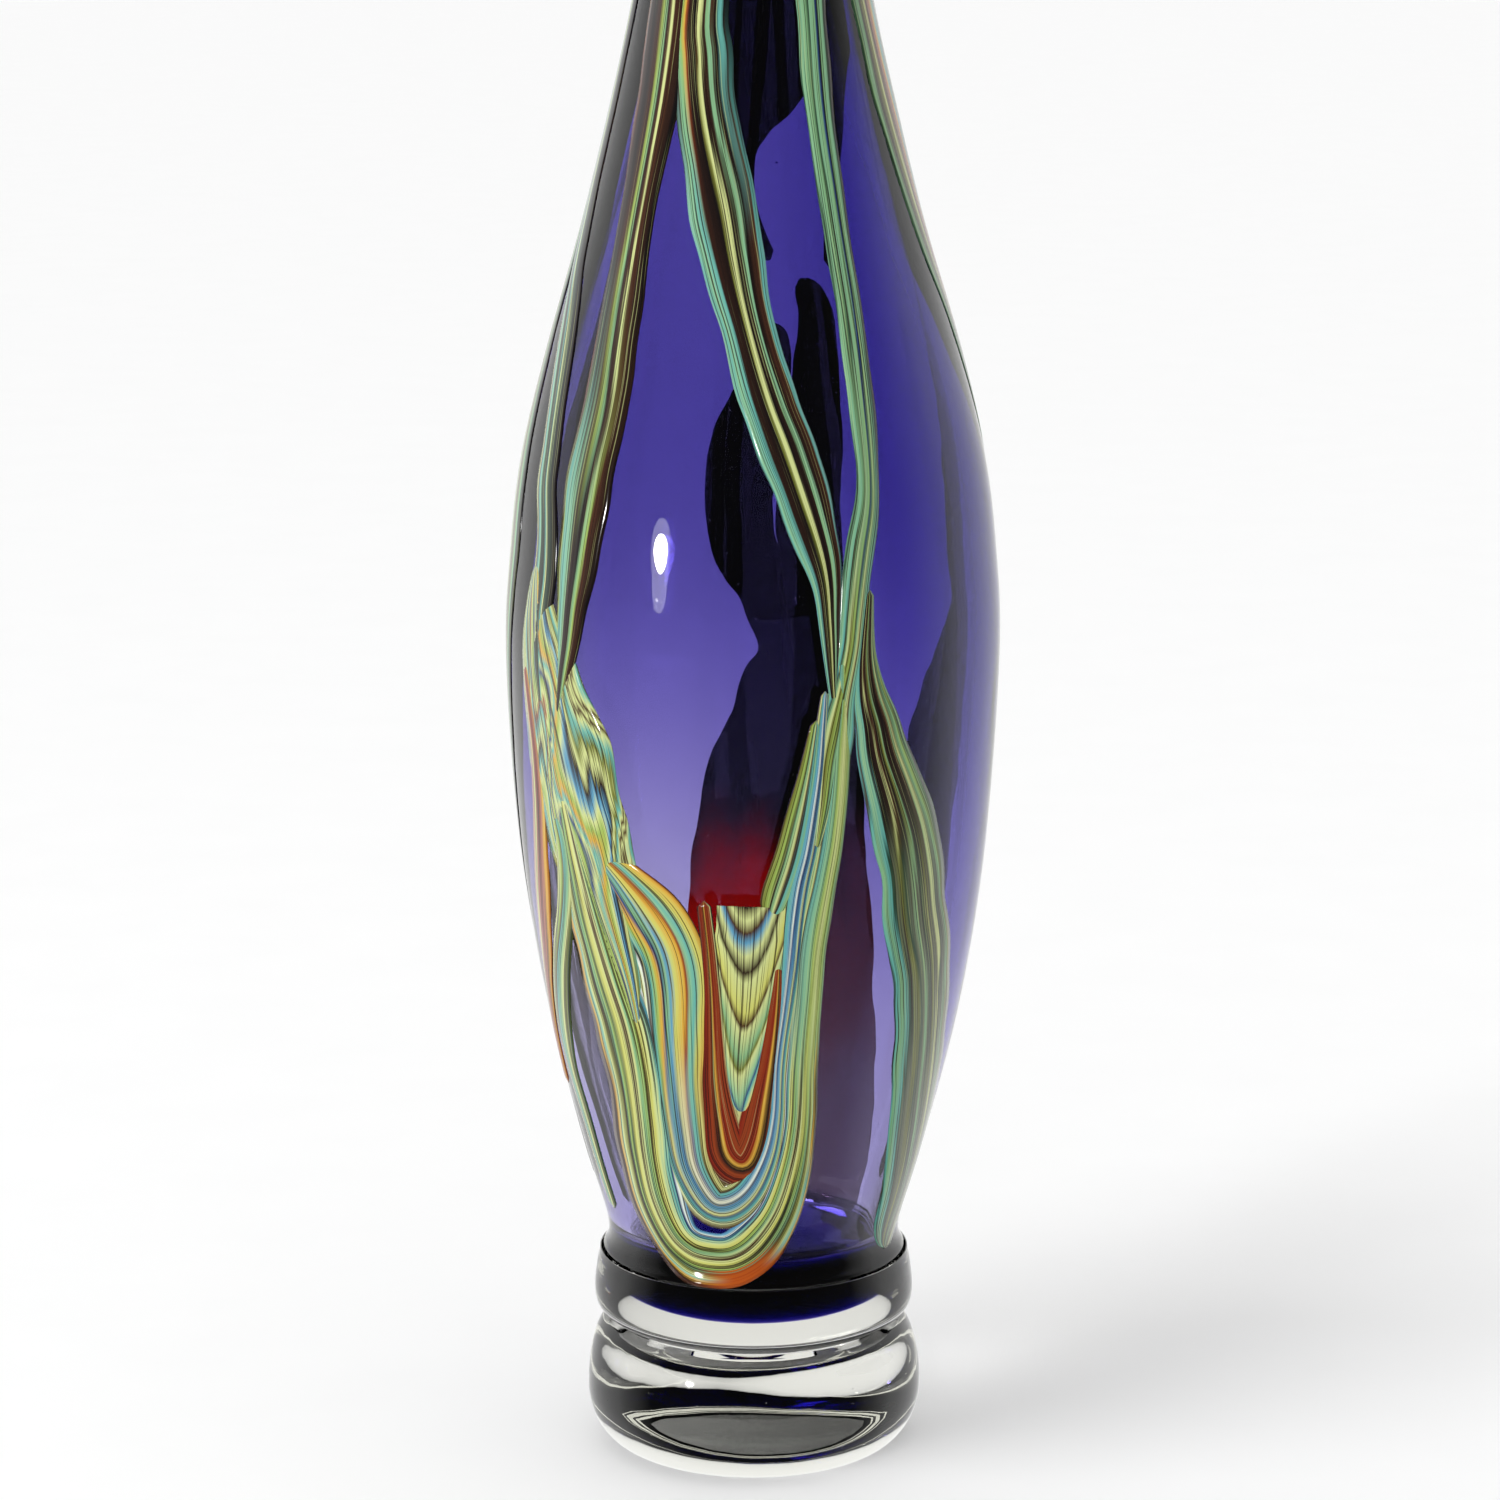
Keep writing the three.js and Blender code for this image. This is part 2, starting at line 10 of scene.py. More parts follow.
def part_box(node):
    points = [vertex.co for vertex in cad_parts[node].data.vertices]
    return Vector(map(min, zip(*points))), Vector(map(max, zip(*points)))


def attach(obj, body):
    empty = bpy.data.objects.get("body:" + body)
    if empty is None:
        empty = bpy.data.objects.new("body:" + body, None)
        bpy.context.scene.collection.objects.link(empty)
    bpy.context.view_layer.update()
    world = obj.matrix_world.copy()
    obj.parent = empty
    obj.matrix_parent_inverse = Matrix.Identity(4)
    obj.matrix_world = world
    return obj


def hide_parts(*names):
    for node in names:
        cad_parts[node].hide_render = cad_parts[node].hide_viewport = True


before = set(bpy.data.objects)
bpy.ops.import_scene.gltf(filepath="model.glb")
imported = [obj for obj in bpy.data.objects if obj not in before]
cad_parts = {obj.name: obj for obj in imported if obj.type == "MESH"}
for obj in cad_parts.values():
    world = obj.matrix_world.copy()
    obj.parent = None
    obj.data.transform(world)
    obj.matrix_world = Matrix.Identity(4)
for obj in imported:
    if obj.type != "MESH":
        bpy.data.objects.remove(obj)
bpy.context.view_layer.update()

bl_info = {
    "name": "Art Glass Vase",
    "version": (1, 0, 0),
    "blender": (4, 5, 0),
    "location": "3D View > Sidebar > Vase",
    "description": "Builds a blown vase: a violet bubble in clear glass, with streaked trails",
    "category": "Add Mesh",
}

# ---- Measures from the frame --------------------------------------------------------------

MM = 0.001
FOOT_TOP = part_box("foot_pad")[1].z
FOOT_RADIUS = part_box("foot_pad")[1].x
COLLAR_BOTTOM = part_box("collar_cup")[0].z
COLLAR_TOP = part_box("collar_cup")[1].z
COLLAR_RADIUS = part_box("collar_cup")[1].x
CASING_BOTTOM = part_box("clear_casing")[0].z
LIP_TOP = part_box("clear_casing")[1].z
BUBBLE_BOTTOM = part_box("violet_bubble")[0].z

# The side of the body from the collar to the lip: radius and height in mm.
SIDE_OUTLINE = [
    (32.8, 44.0), (31.7, 50.0), (37.2, 69.4), (44.4, 98.8), (49.5, 132.5), (52.2, 175.0),
    (51.1, 199.0), (48.5, 218.0), (43.2, 239.0), (34.4, 270.0), (24.9, 311.0), (18.8, 347.0),
    (17.0, 375.0), (19.0, 394.3), (24.9, 409.4),
]

BODY_FOOT = SIDE_OUTLINE[0][0] * MM

# The foot: the collar's seat on it, the crease beside that, its widest ring, and under it a
# hollow and the ring that it stands on.
SEAT_RADIUS = COLLAR_RADIUS - 4 * MM
CREASE = (SEAT_RADIUS + 1 * MM, FOOT_TOP - 0.5 * MM)
FOOT_WIDEST = (FOOT_RADIUS, 12.5 * MM)
HOLLOW_DEPTH = 2.5 * MM
HOLLOW_RADIUS = 12 * MM
STANDING_RADIUS = 27 * MM
FOOT_SHRINK = 0.010
FOOT_WOBBLE = 0.0062

# The seams: how far a fused face's box reaches past it, how far the collar's cup stands off
# the body, and how far its rim's inner edge is below its top.
SEAM_SLACK = 0.2 * MM
CUP_GAP = 0.3 * MM
CUP_RIM_DROP = 0.1 * MM

# The wall: how far the casing lies inside its outline, the clear skin within the violet, the
# hollow's floor and the top of its bowl, and the height from which the wall thins.
CASING_INSET = 0.06 * MM
SKIN = 0.06 * MM
HOLLOW_FLOOR = BUBBLE_BOTTOM + 4 * MM
HOLLOW_BOWL_TOP = BUBBLE_BOTTOM + 18 * MM
NECK_START = 0.33

# The violet glass: its bottom, the top of its bowl, its flat middle, where it thickens, and
# where it starts to lean.
VIOLET_BOTTOM = CASING_BOTTOM + 0.3 * MM
VIOLET_BOWL_TOP = CASING_BOTTOM + 13 * MM
VIOLET_FLAT = 16 * MM
THICKENING_START = 0.09
THICKENING_SPAN = 0.13
LEAN_START = COLLAR_TOP + 16 * MM
LEAN_SPAN = 60 * MM

# The seed bubbles: the least and the spread of their heights, depths and sizes, in mm.
SEED_COUNT = 46
SEED_HEIGHTS = (60, 300)
SEED_DEPTHS = (0.8, 2)
SEED_SIZES = (0.12, 0.2)

# The trails: how blunt the tongue's top is, how narrow a tip gets, how much wider the far ones
# are up the neck, how far down and up they go, and the shape of their edges.
BLUNT_END = 0.92
TIP_LEAST = 0.02
NECK_WIDENING = 0.7
WIDENING_START = 250
WIDENING_SPAN = 40
TRAIL_LOWEST = COLLAR_TOP + 0.2 * MM
TRAIL_HIGHEST = LIP_TOP - 3 * MM
EDGE_RIPPLES = 90
EDGE_RIPPLE = 0.12
CROWN_POWER = 2.5

TURNS = 128
LINE_STEPS = 10
ROUTE_STEPS = 6
RIBBON_STRIPS = 14
LIP_ARC_STEPS = 8

# ---- The stage ----------------------------------------------------------------------------

CAMERA_PLACE = (-0.0008, -0.98793, 0.36324)
CAMERA_TILT = 78
CAMERA_LENS = 113.76
CAMERA_SENSOR = 36
WINDOW_PLACE = (-0.86, -0.92, 0.245)
WINDOW_SIZE = (0.14, 0.1)
GLOW_PLACE = (-0.86, -0.92, 0.25)
GLOW_SIZE = (0.2, 0.2)
GLOW_SHARE = 0.08
WINDOW_AIM = Vector((0, 0, 0.2))
SUN_HEADING = Vector((0.62, 0.42, -1.0))
SUN_WIDTH = 28
PLAIN = (1, 1, 1, 1)
FLOOR_SHADES = [(0.93, 0.93, 0.93, 1), (0.96, 0.96, 0.96, 1)]
# What the glass mirrors, from the room in front of the vase to the room behind it.
ROOM_STOPS = [(0.0, (0.05, 0.05, 0.05, 1)), (0.36, (0.08, 0.08, 0.08, 1)), (0.64, PLAIN)]

# ---- Colours ------------------------------------------------------------------------------


def paint(red, green, blue):
    """A colour given as it looks on a screen, from 0 to 255, as linear light."""
    return tuple(
        (part / 255 / 12.92) if part <= 10 else ((part / 255 + 0.055) / 1.055) ** 2.4
        for part in (red, green, blue)
    ) + (1.0,)


WHITE = paint(210, 218, 206)
CREAM = paint(190, 198, 132)
BUTTER = paint(186, 186, 96)
LIME = paint(142, 166, 82)
SAGE = paint(120, 164, 118)
MINT = paint(126, 174, 136)
TEAL = paint(92, 160, 150)
SKY = paint(84, 142, 172)
NAVY = paint(38, 62, 112)
PINE = paint(34, 62, 44)
DRAB = paint(92, 100, 76)
OLIVE = paint(104, 108, 44)
OCHRE = paint(196, 152, 58)
ORANGE = paint(186, 94, 26)
RUST = paint(132, 56, 26)
BRICK = paint(122, 32, 16)
ROSE = paint(158, 104, 88)
BROWN = paint(66, 38, 24)
UMBER = paint(40, 24, 18)
BLACK = paint(14, 11, 12)

# ---- The trails ---------------------------------------------------------------------------


def stops(*parts):
    """Pairs each share of a breadth, given in hundredths, with the colour that it has there."""
    return [(share / 100, colour) for share, colour in zip(parts[::2], parts[1::2])]


# Each trail's route is its angle in degrees from the front to the right, and its height and
# breadth in mm. Its streaks run from its left edge to its right as it falls, and its tail's
# take over at the change, a share of its length. A blush is red glass from one share of the
# length to another, beyond a share of the breadth.
TRAILS = {
    "sage_trail": {"route": [
        (32, 392, 6), (31, 360, 6), (29, 330, 7), (28, 312, 7), (27, 293, 6.5), (28, 273, 6),
        (29, 253, 6), (29, 234, 6), (28, 216, 5.4), (25, 204, 6.5), (23, 192, 6), (22, 184, 5.6),
        (20, 175, 6), (18.5, 168, 8.5), (17, 161, 8.5), (16, 152, 6), (14.5, 143, 2),
    ], "streaks": stops(
        0, PINE, 6, MINT, 22, SAGE, 32, PINE, 36, MINT, 52, SAGE, 58, NAVY, 64, BLACK, 68, SAGE,
        80, MINT, 88, PINE, 100, UMBER,
    ), "tail": stops(
        0, PINE, 8, MINT, 16, TEAL, 22, UMBER, 28, SAGE, 36, CREAM, 42, OLIVE, 50, LIME, 56, UMBER,
        62, SAGE, 70, CREAM, 76, BROWN, 84, MINT, 92, TEAL, 100, UMBER,
    ), "change": 0.72},
    "centre_apex_trail": {"route": [
        (-18, 386, 6), (-22, 350, 8), (-26, 313, 12), (-23, 301, 13), (-19, 290, 13),
        (-11, 273, 14), (-7, 262, 13), (-2, 249, 11), (4, 234, 11.5), (8, 225, 12), (12, 214, 11),
        (15, 205, 9), (16.5, 198, 6.5), (17, 190, 4.5), (17.5, 181, 3), (18, 174, 1.5),
    ], "streaks": stops(
        0, UMBER, 6, BROWN, 10, SAGE, 16, LIME, 19, OCHRE, 24, RUST, 30, UMBER, 41, BLACK,
        45, BROWN, 47, CREAM, 52, CREAM, 55, BLACK, 60, BROWN, 63, SAGE, 67, MINT, 70, BROWN,
        78, BLACK, 82, TEAL, 88, TEAL, 91, BLACK,
    ), "tail": stops(
        0, TEAL, 6, MINT, 18, TEAL, 24, UMBER, 42, BLACK, 46, OLIVE, 50, CREAM, 54, CREAM,
        57, BLACK, 65, UMBER, 67, SAGE, 73, MINT, 76, BLACK, 92, BROWN, 96, TEAL,
    ), "change": 0.45},
    "left_apex_trail": {"route": [
        (-46, 380, 7), (-45, 345, 9), (-44, 312, 12), (-43, 292, 12), (-44, 272, 10),
        (-43, 253, 11), (-42, 235, 12.5), (-43, 222, 13), (-44, 212, 13.5), (-45, 200, 11.5),
        (-46, 191, 9), (-47, 183, 7), (-49, 175, 5), (-51, 167, 2),
    ], "streaks": stops(
        0, RUST, 5, UMBER, 20, BLACK, 34, BROWN, 38, OLIVE, 43, LIME, 49, SAGE, 52, UMBER,
        59, BROWN, 62, CREAM, 65, CREAM, 68, BROWN, 82, UMBER, 93, BLACK,
    ), "tail": stops(
        0, BROWN, 5, LIME, 12, TEAL, 30, MINT, 36, UMBER, 56, BLACK, 62, SAGE, 70, LIME, 75, BROWN,
        100, BLACK,
    ), "change": 0.72},
    "outer_loop_trail": {"route": [
        (20, 182, 2), (20, 174, 4), (19.5, 165, 5), (19, 155, 5.4), (18, 145, 5.6), (16.5, 136, 6),
        (15, 128, 6.6), (14, 120, 6.6), (13.5, 110, 6.6), (13, 97, 7), (13.5, 82, 7.5), (12, 71, 9),
        (8, 61, 10.5), (1, 54, 12), (-7, 50.5, 12.5), (-16, 49.8, 12.5), (-25, 50.8, 13),
        (-32, 54.5, 14.5), (-36, 62, 16), (-36.5, 72, 16.5), (-35.5, 82, 17), (-35, 92, 18),
        (-36, 102, 19), (-39, 112, 18.5), (-42, 122, 18), (-45, 132, 16), (-48, 142, 12),
        (-51, 152, 6),
    ], "streaks": stops(
        0, UMBER, 6, BROWN, 10, SAGE, 15, CREAM, 18, UMBER, 24, TEAL, 42, MINT, 50, SAGE, 56, LIME,
        72, CREAM, 86, LIME, 95, SAGE, 100, OLIVE,
    ), "tail": stops(
        0, NAVY, 5, SKY, 9, WHITE, 12, NAVY, 17, TEAL, 22, CREAM, 28, BUTTER, 32, UMBER, 35, LIME,
        40, SAGE, 45, CREAM, 50, BROWN, 53, CREAM, 60, BUTTER, 65, PINE, 68, LIME, 72, SAGE,
        76, UMBER, 79, OLIVE, 84, CREAM, 87, TEAL, 91, OCHRE, 95, UMBER, 100, BROWN,
    ), "change": 0.33, "blush": (0.5, 0.575, 0.68)},
    "middle_loop_trail": {"route": [
        (16, 176, 1.5), (15.5, 168, 3), (15, 160, 4), (14, 152, 4.6), (12.5, 143, 5),
        (10.5, 135, 5.4), (9.5, 127, 5.4), (9, 118, 5), (8, 108, 4.4), (6.5, 96, 4.2), (6, 84, 4.8),
        (4, 75, 6.5), (-1, 67, 8.5), (-8, 63, 10.5), (-15, 63.5, 11), (-20.5, 71, 11.5),
        (-21.5, 80, 12), (-21.5, 92, 13.5), (-21.5, 103, 15.5), (-21.5, 113, 17), (-23, 121, 18),
        (-27.5, 128, 17), (-33, 134, 12), (-39, 139, 6),
    ], "streaks": stops(
        0, BROWN, 10, CREAM, 16, BROWN, 22, TEAL, 34, SKY, 42, WHITE, 47, NAVY, 60, SKY, 68, CREAM,
        73, NAVY, 84, TEAL, 90, CREAM, 95, BROWN,
    ), "tail": stops(
        0, RUST, 6, OCHRE, 15, BUTTER, 22, TEAL, 28, MINT, 33, RUST, 37, OCHRE, 46, BUTTER, 52, SKY,
        58, SAGE, 63, NAVY, 68, OCHRE, 74, LIME, 80, TEAL, 86, UMBER, 90, WHITE, 95, CREAM,
        100, BROWN,
    ), "change": 0.66},
    "red_comb_line": {"route": [
        (-12, 132, 3), (-11, 121, 3.4), (-10.5, 111, 4), (-10.5, 101, 5), (-10.5, 92, 6.5),
        (-9.5, 83, 9), (-7.5, 75.5, 12), (-3, 73.5, 13), (0.5, 79, 11), (3, 90, 8.5), (4.6, 100, 6),
        (5.6, 110, 4), (6, 118, 2),
    ], "streaks": stops(
        0, UMBER, 18, BRICK, 30, RUST, 42, UMBER, 50, OCHRE, 55, BRICK, 72, RUST, 84, BRICK,
        92, CREAM, 96, UMBER,
    )},
    "combed_tongue": {"route": [
        (0.8, 131, 18), (0.6, 124, 16.5), (0, 116, 14.5), (-0.8, 108, 12.5), (-2, 100, 10.5),
        (-3, 92, 8), (-3.4, 85, 4),
    ], "streaks": stops(
        0, UMBER, 4, CREAM, 8, BROWN, 11, SKY, 15, CREAM, 20, UMBER, 23, CREAM, 32, BUTTER,
        36, BROWN, 38, CREAM, 46, SAGE, 50, OLIVE, 52, CREAM, 60, MINT, 64, NAVY, 66, TEAL,
        72, CREAM, 77, OCHRE, 80, RUST, 82, CREAM, 88, MINT, 92, BRICK, 97, OCHRE, 100, LIME,
    ), "combed": True},
    "hooked_thread": {"route": [
        (14, 170, 2), (12.5, 160, 4), (10.6, 150, 6), (8.4, 141, 7), (6, 134, 7), (4, 128.5, 5),
    ], "streaks": stops(
        0, BROWN, 10, OLIVE, 25, LIME, 34, UMBER, 42, SAGE, 50, CREAM, 56, BROWN, 66, TEAL,
        80, SAGE, 92, LIME,
    )},
    "right_leg_trail": {"route": [
        (27, 196, 2), (26, 186, 3.6), (26, 180, 5.4), (27, 174, 8), (29, 168, 10.5),
        (31, 161, 12.5), (35, 152, 15), (39, 143, 17), (42, 134, 18), (45, 124, 18.5),
        (49, 114, 18.5), (52, 105, 19), (57, 90, 20), (62, 75, 20), (65, 63, 18), (65, 54, 15),
        (63, 47, 12),
    ], "streaks": stops(
        0, BROWN, 3, TEAL, 8, MINT, 16, TEAL, 19, BLACK, 28, UMBER, 31, CREAM, 33, BROWN, 42, BLACK,
        46, OLIVE, 50, SAGE, 53, UMBER, 62, BLACK, 68, BROWN, 71, SAGE, 75, CREAM, 77, UMBER,
        83, SAGE, 87, LIME, 90, PINE, 95, SAGE, 100, UMBER,
    ), "tail": stops(
        0, UMBER, 3, TEAL, 8, SAGE, 16, TEAL, 20, PINE, 25, DRAB, 31, OLIVE, 36, PINE, 42, DRAB,
        47, SAGE, 51, DRAB, 56, PINE, 62, OLIVE, 67, DRAB, 73, CREAM, 75, PINE, 80, DRAB, 86, SAGE,
        90, OLIVE, 94, DRAB, 100, PINE,
    ), "change": 0.35},
    "left_shoulder_trail": {"route": [
        (-84, 372, 5), (-83, 335, 6), (-82, 300, 8), (-81, 275, 9), (-76, 260, 9), (-70, 250, 9),
        (-66, 241, 9), (-63, 231, 8), (-61, 222, 8), (-60, 215, 8.5), (-58, 208, 8), (-57, 202, 8),
        (-57, 195, 9), (-58, 187, 9), (-58, 178, 7), (-57, 168, 3),
    ], "streaks": stops(
        0, PINE, 8, CREAM, 13, UMBER, 20, TEAL, 30, MINT, 36, PINE, 50, BLACK, 55, TEAL, 62, CREAM,
        67, PINE, 85, BLACK,
    )},
    "folded_trail": {"route": [
        (-60, 198, 4), (-59, 190, 11), (-57, 181, 18), (-54, 172, 24), (-51, 163, 27),
        (-48.5, 155, 28), (-46, 147, 27), (-43, 139, 25), (-40, 131, 21), (-37, 122, 15),
        (-34, 112, 9), (-32, 102, 4),
    ], "streaks": stops(
        0, LIME, 5, CREAM, 9, TEAL, 14, UMBER, 18, CREAM, 24, TEAL, 29, RUST, 32, CREAM, 38, LIME,
        42, NAVY, 46, CREAM, 50, TEAL, 55, OCHRE, 60, LIME, 65, CREAM, 70, SKY, 75, UMBER,
        79, CREAM, 84, OLIVE, 89, TEAL, 94, CREAM, 97, BROWN, 100, CREAM,
    ), "folds": 0.13},
    "left_edge_trail": {"route": [
        (-54, 146, 4), (-52, 140, 6.5), (-52, 132, 6.5), (-55, 122, 6.5), (-61, 110, 7.5),
        (-66, 97, 8), (-67, 88, 6.5), (-66, 78, 6), (-65, 68, 5), (-64, 56, 4),
    ], "streaks": stops(
        0, OLIVE, 12, CREAM, 30, LIME, 40, BROWN, 45, TEAL, 65, SAGE, 75, CREAM, 85, OLIVE,
        100, PINE,
    )},
    "rose_thread": {"route": [
        (-65, 176, 3), (-63, 166, 4.5), (-62, 158, 5), (-62, 149, 6), (-63, 140, 7), (-65, 129, 8),
        (-68, 117, 7.5), (-72, 106, 5.5), (-76, 95, 4), (-79, 82, 3),
    ], "streaks": stops(
        0, RUST, 20, ROSE, 35, CREAM, 42, ROSE, 60, BRICK, 70, ROSE, 85, OCHRE, 100, RUST,
    )},
    "right_side_fall": {"route": [
        (60, 378, 6), (63, 345, 6.5), (67, 312, 7), (72, 291, 8.5), (76, 271, 9), (83, 253, 9.5),
        (94, 233, 11), (103, 214, 14), (106, 198, 14), (105, 184, 14), (108, 174, 18),
        (111, 165, 23), (113, 156, 28), (115, 148, 30), (115, 141, 27), (113, 134, 20),
        (109, 124, 14), (105, 108, 11), (101, 88, 9), (99, 68, 7), (98, 56, 6),
    ], "streaks": stops(
        0, PINE, 8, SAGE, 16, UMBER, 30, OLIVE, 36, CREAM, 40, BROWN, 55, RUST, 62, OCHRE, 68, TEAL,
        78, PINE, 86, CREAM, 90, BLACK,
    )},
    "back_crown_trail": {"route": [
        (186, 378, 11), (186, 345, 17), (186, 312, 22), (186, 298, 21), (187, 290, 17),
        (189, 283, 12), (189, 276, 8), (183, 264, 5), (174, 254, 4),
    ], "streaks": stops(
        0, UMBER, 10, RUST, 20, BLACK, 30, SAGE, 36, CREAM, 42, UMBER, 56, TEAL, 64, BROWN,
        74, OCHRE, 80, RUST, 90, BLACK,
    )},
    "back_right_fall": {"route": [
        (164, 250, 5), (159, 243, 9), (160, 234, 11), (162, 222, 14), (164, 213, 16),
        (165, 199, 16.5), (164, 186, 15), (162, 177, 12.5), (161, 166, 12), (161, 156, 15),
        (161, 145, 17), (160, 132, 20), (158, 118, 22), (155, 104, 23), (152, 88, 25),
        (149, 70, 29), (147, 56, 32), (146, 38, 33),
    ], "streaks": stops(
        0, BROWN, 8, LIME, 16, TEAL, 24, UMBER, 36, RUST, 44, OCHRE, 50, CREAM, 54, BROWN, 66, SAGE,
        74, TEAL, 80, UMBER, 92, OLIVE,
    )},
    "back_left_fall": {"route": [
        (174, 240, 5), (174, 233, 9), (179, 222, 12.5), (183, 213, 15.5), (184, 199, 16.5),
        (181, 186, 15), (176, 177, 12.5), (172, 166, 12), (174, 156, 18), (178, 145, 20),
        (182, 132, 22), (184, 121, 23), (186, 110, 22), (188, 95, 19), (190, 78, 15), (191, 62, 10),
    ], "streaks": stops(
        0, OLIVE, 8, CREAM, 14, UMBER, 26, SAGE, 34, TEAL, 40, NAVY, 46, CREAM, 52, RUST, 66, BRICK,
        74, OCHRE, 82, LIME, 90, BROWN,
    )},
    "back_right_drip": {"route": [
        (122, 382, 7), (124, 345, 11), (126, 312, 13), (131, 302, 10), (133, 295, 5), (140, 282, 3),
        (148, 266, 2.5), (152, 253, 3),
    ], "streaks": stops(
        0, PINE, 15, SAGE, 30, UMBER, 45, OLIVE, 55, CREAM, 62, BROWN, 80, TEAL, 92, BLACK,
    )},
    "back_left_trail": {"route": [
        (222, 388, 6), (226, 350, 7), (230, 320, 8), (236, 295, 9), (240, 270, 9), (243, 240, 9.5),
        (246, 210, 11), (248, 185, 14), (247, 160, 16), (248, 135, 12), (250, 110, 9), (253, 85, 8),
        (255, 60, 7),
    ], "streaks": stops(
        0, PINE, 10, MINT, 25, SAGE, 32, BROWN, 42, OCHRE, 50, CREAM, 56, UMBER, 68, TEAL, 80, LIME,
        88, CREAM, 94, OLIVE,
    )},
    "left_side_trail": {"route": [
        (262, 375, 5), (264, 340, 6), (264, 305, 7), (268, 275, 8), (274, 245, 9), (279, 218, 11),
        (281, 198, 11), (278, 176, 9), (272, 150, 9), (266, 125, 10), (263, 100, 9), (266, 78, 8),
        (268, 58, 6),
    ], "streaks": stops(
        0, BLACK, 12, TEAL, 20, PINE, 35, SAGE, 44, CREAM, 50, UMBER, 66, OLIVE, 76, MINT, 84, PINE,
        94, BLACK,
    )},
}

# The trails named as darker glass; lay_trail works out a slot name from this but does not use it.
DARK_TRAILS = {
    "red_comb_line", "rose_thread", "right_side_fall", "back_crown_trail", "back_right_fall",
    "back_left_fall", "back_right_drip", "left_side_trail",
}

# The two trails that let light through low down, and the colour that it takes there.
THIN_TRAILS = {
    "back_right_fall": (0.42, 0.22, 0.2, 1), "back_left_fall": (0.85, 0.06, 0.03, 1),
}
# The heights between which they open, those between which the light turns to smoke, how open
# they get, the smoke's colour, and how far the heights wander.
OPENING = (0.14, 0.108)
SMOKING = (0.1, 0.065)
OPEN_SHARE = 0.9
SMOKE = (0.45, 0.38, 0.38, 1)
OPENING_WANDER = 0.05

FRONT_TRAILS = [
    "sage_trail", "centre_apex_trail", "left_apex_trail", "outer_loop_trail",
    "middle_loop_trail", "red_comb_line", "combed_tongue", "hooked_thread", "right_leg_trail",
]
LEFT_TRAILS = ["left_shoulder_trail", "folded_trail", "left_edge_trail", "rose_thread"]
FAR_TRAILS = [name for name in TRAILS if name not in FRONT_TRAILS + LEFT_TRAILS]

# ---- Settings -----------------------------------------------------------------------------


def mm_length(name, description, default):
    """A setting that is a length, with its default in mm."""
    return FloatProperty(name=name, description=description, default=default * MM, unit="LENGTH")


class GlassSettings(bpy.types.PropertyGroup):
    """The blown glass: its walls and its colours."""

    wall: mm_length("Wall", "Thickness of the whole wall at the belly", 5.3)
    lip_wall: mm_length("Lip wall", "Thickness of the wall at the lip", 3.2)
    violet_layer: mm_length("Violet layer", "Thickness of the violet glass at the shoulder", 1.9)
    violet_layer_low: mm_length("Violet layer below", "Thickness of the violet glass near the collar", 0.6)
    violet_lean: mm_length("Violet lean", "How much thicker the violet glass is on the right", 0.35)
    violet: FloatVectorProperty(
        name="Violet", description="Light that the violet glass lets through",
        default=(0.107, 0.01, 0.66), subtype="COLOR", min=0, max=1,
    )
    violet_depth: FloatProperty(
        name="Violet depth", description="How strongly the violet glass absorbs, per metre",
        default=800, min=0,
    )
    clear: FloatVectorProperty(
        name="Clear", description="Light that the clear glass lets through",
        default=(0.62, 0.62, 0.42), subtype="COLOR", min=0, max=1,
    )
    clear_depth: FloatProperty(
        name="Clear depth", description="How strongly the clear glass absorbs, per metre",
        default=5, min=0,
    )


class TrailSettings(bpy.types.PropertyGroup):
    """The trails: how they lie on the glass."""

    rise: mm_length("Rise", "Height of a trail's middle above the glass", 0.42)
    edge_rise: mm_length("Edge rise", "Height of a trail's edge above the glass", 0.04)
    sink: mm_length("Sink", "Depth of a trail's underside painted shade in the glass", 0.25)


class StageSettings(bpy.types.PropertyGroup):
    """The floor and the lights."""

    floor_radius: FloatProperty(
        name="Floor radius", description="Radius of the pale floor", default=6, unit="LENGTH",
    )
    window_power: FloatProperty(
        name="Window power", description="Power of the small window on the left",
        default=5, unit="POWER",
    )
    sun_strength: FloatProperty(
        name="Sun strength", description="Strength of the soft light from the left", default=1.1,
    )
    room_light: FloatProperty(
        name="Room light", description="Light that the white room lends the floor", default=0.76,
    )


# ---- Shader nodes -------------------------------------------------------------------------


class Value:
    """A number in a shader, on which arithmetic adds Math nodes."""

    def __init__(self, shader, socket):
        self.shader = shader
        self.socket = socket

    def math(self, operation, first, second):
        return self.shader.node("ShaderNodeMath", {"operation": operation}, [first, second])

    def __add__(self, other):
        return self.math("ADD", self, other)

    __radd__ = __add__

    def __sub__(self, other):
        return self.math("SUBTRACT", self, other)

    def __rsub__(self, other):
        return self.math("SUBTRACT", other, self)

    def __mul__(self, other):
        return self.math("MULTIPLY", self, other)

    __rmul__ = __mul__

    def __truediv__(self, other):
        return self.math("DIVIDE", self, other)

    def __gt__(self, other):
        return self.math("GREATER_THAN", self, other)

    def __lt__(self, other):
        return self.math("LESS_THAN", self, other)


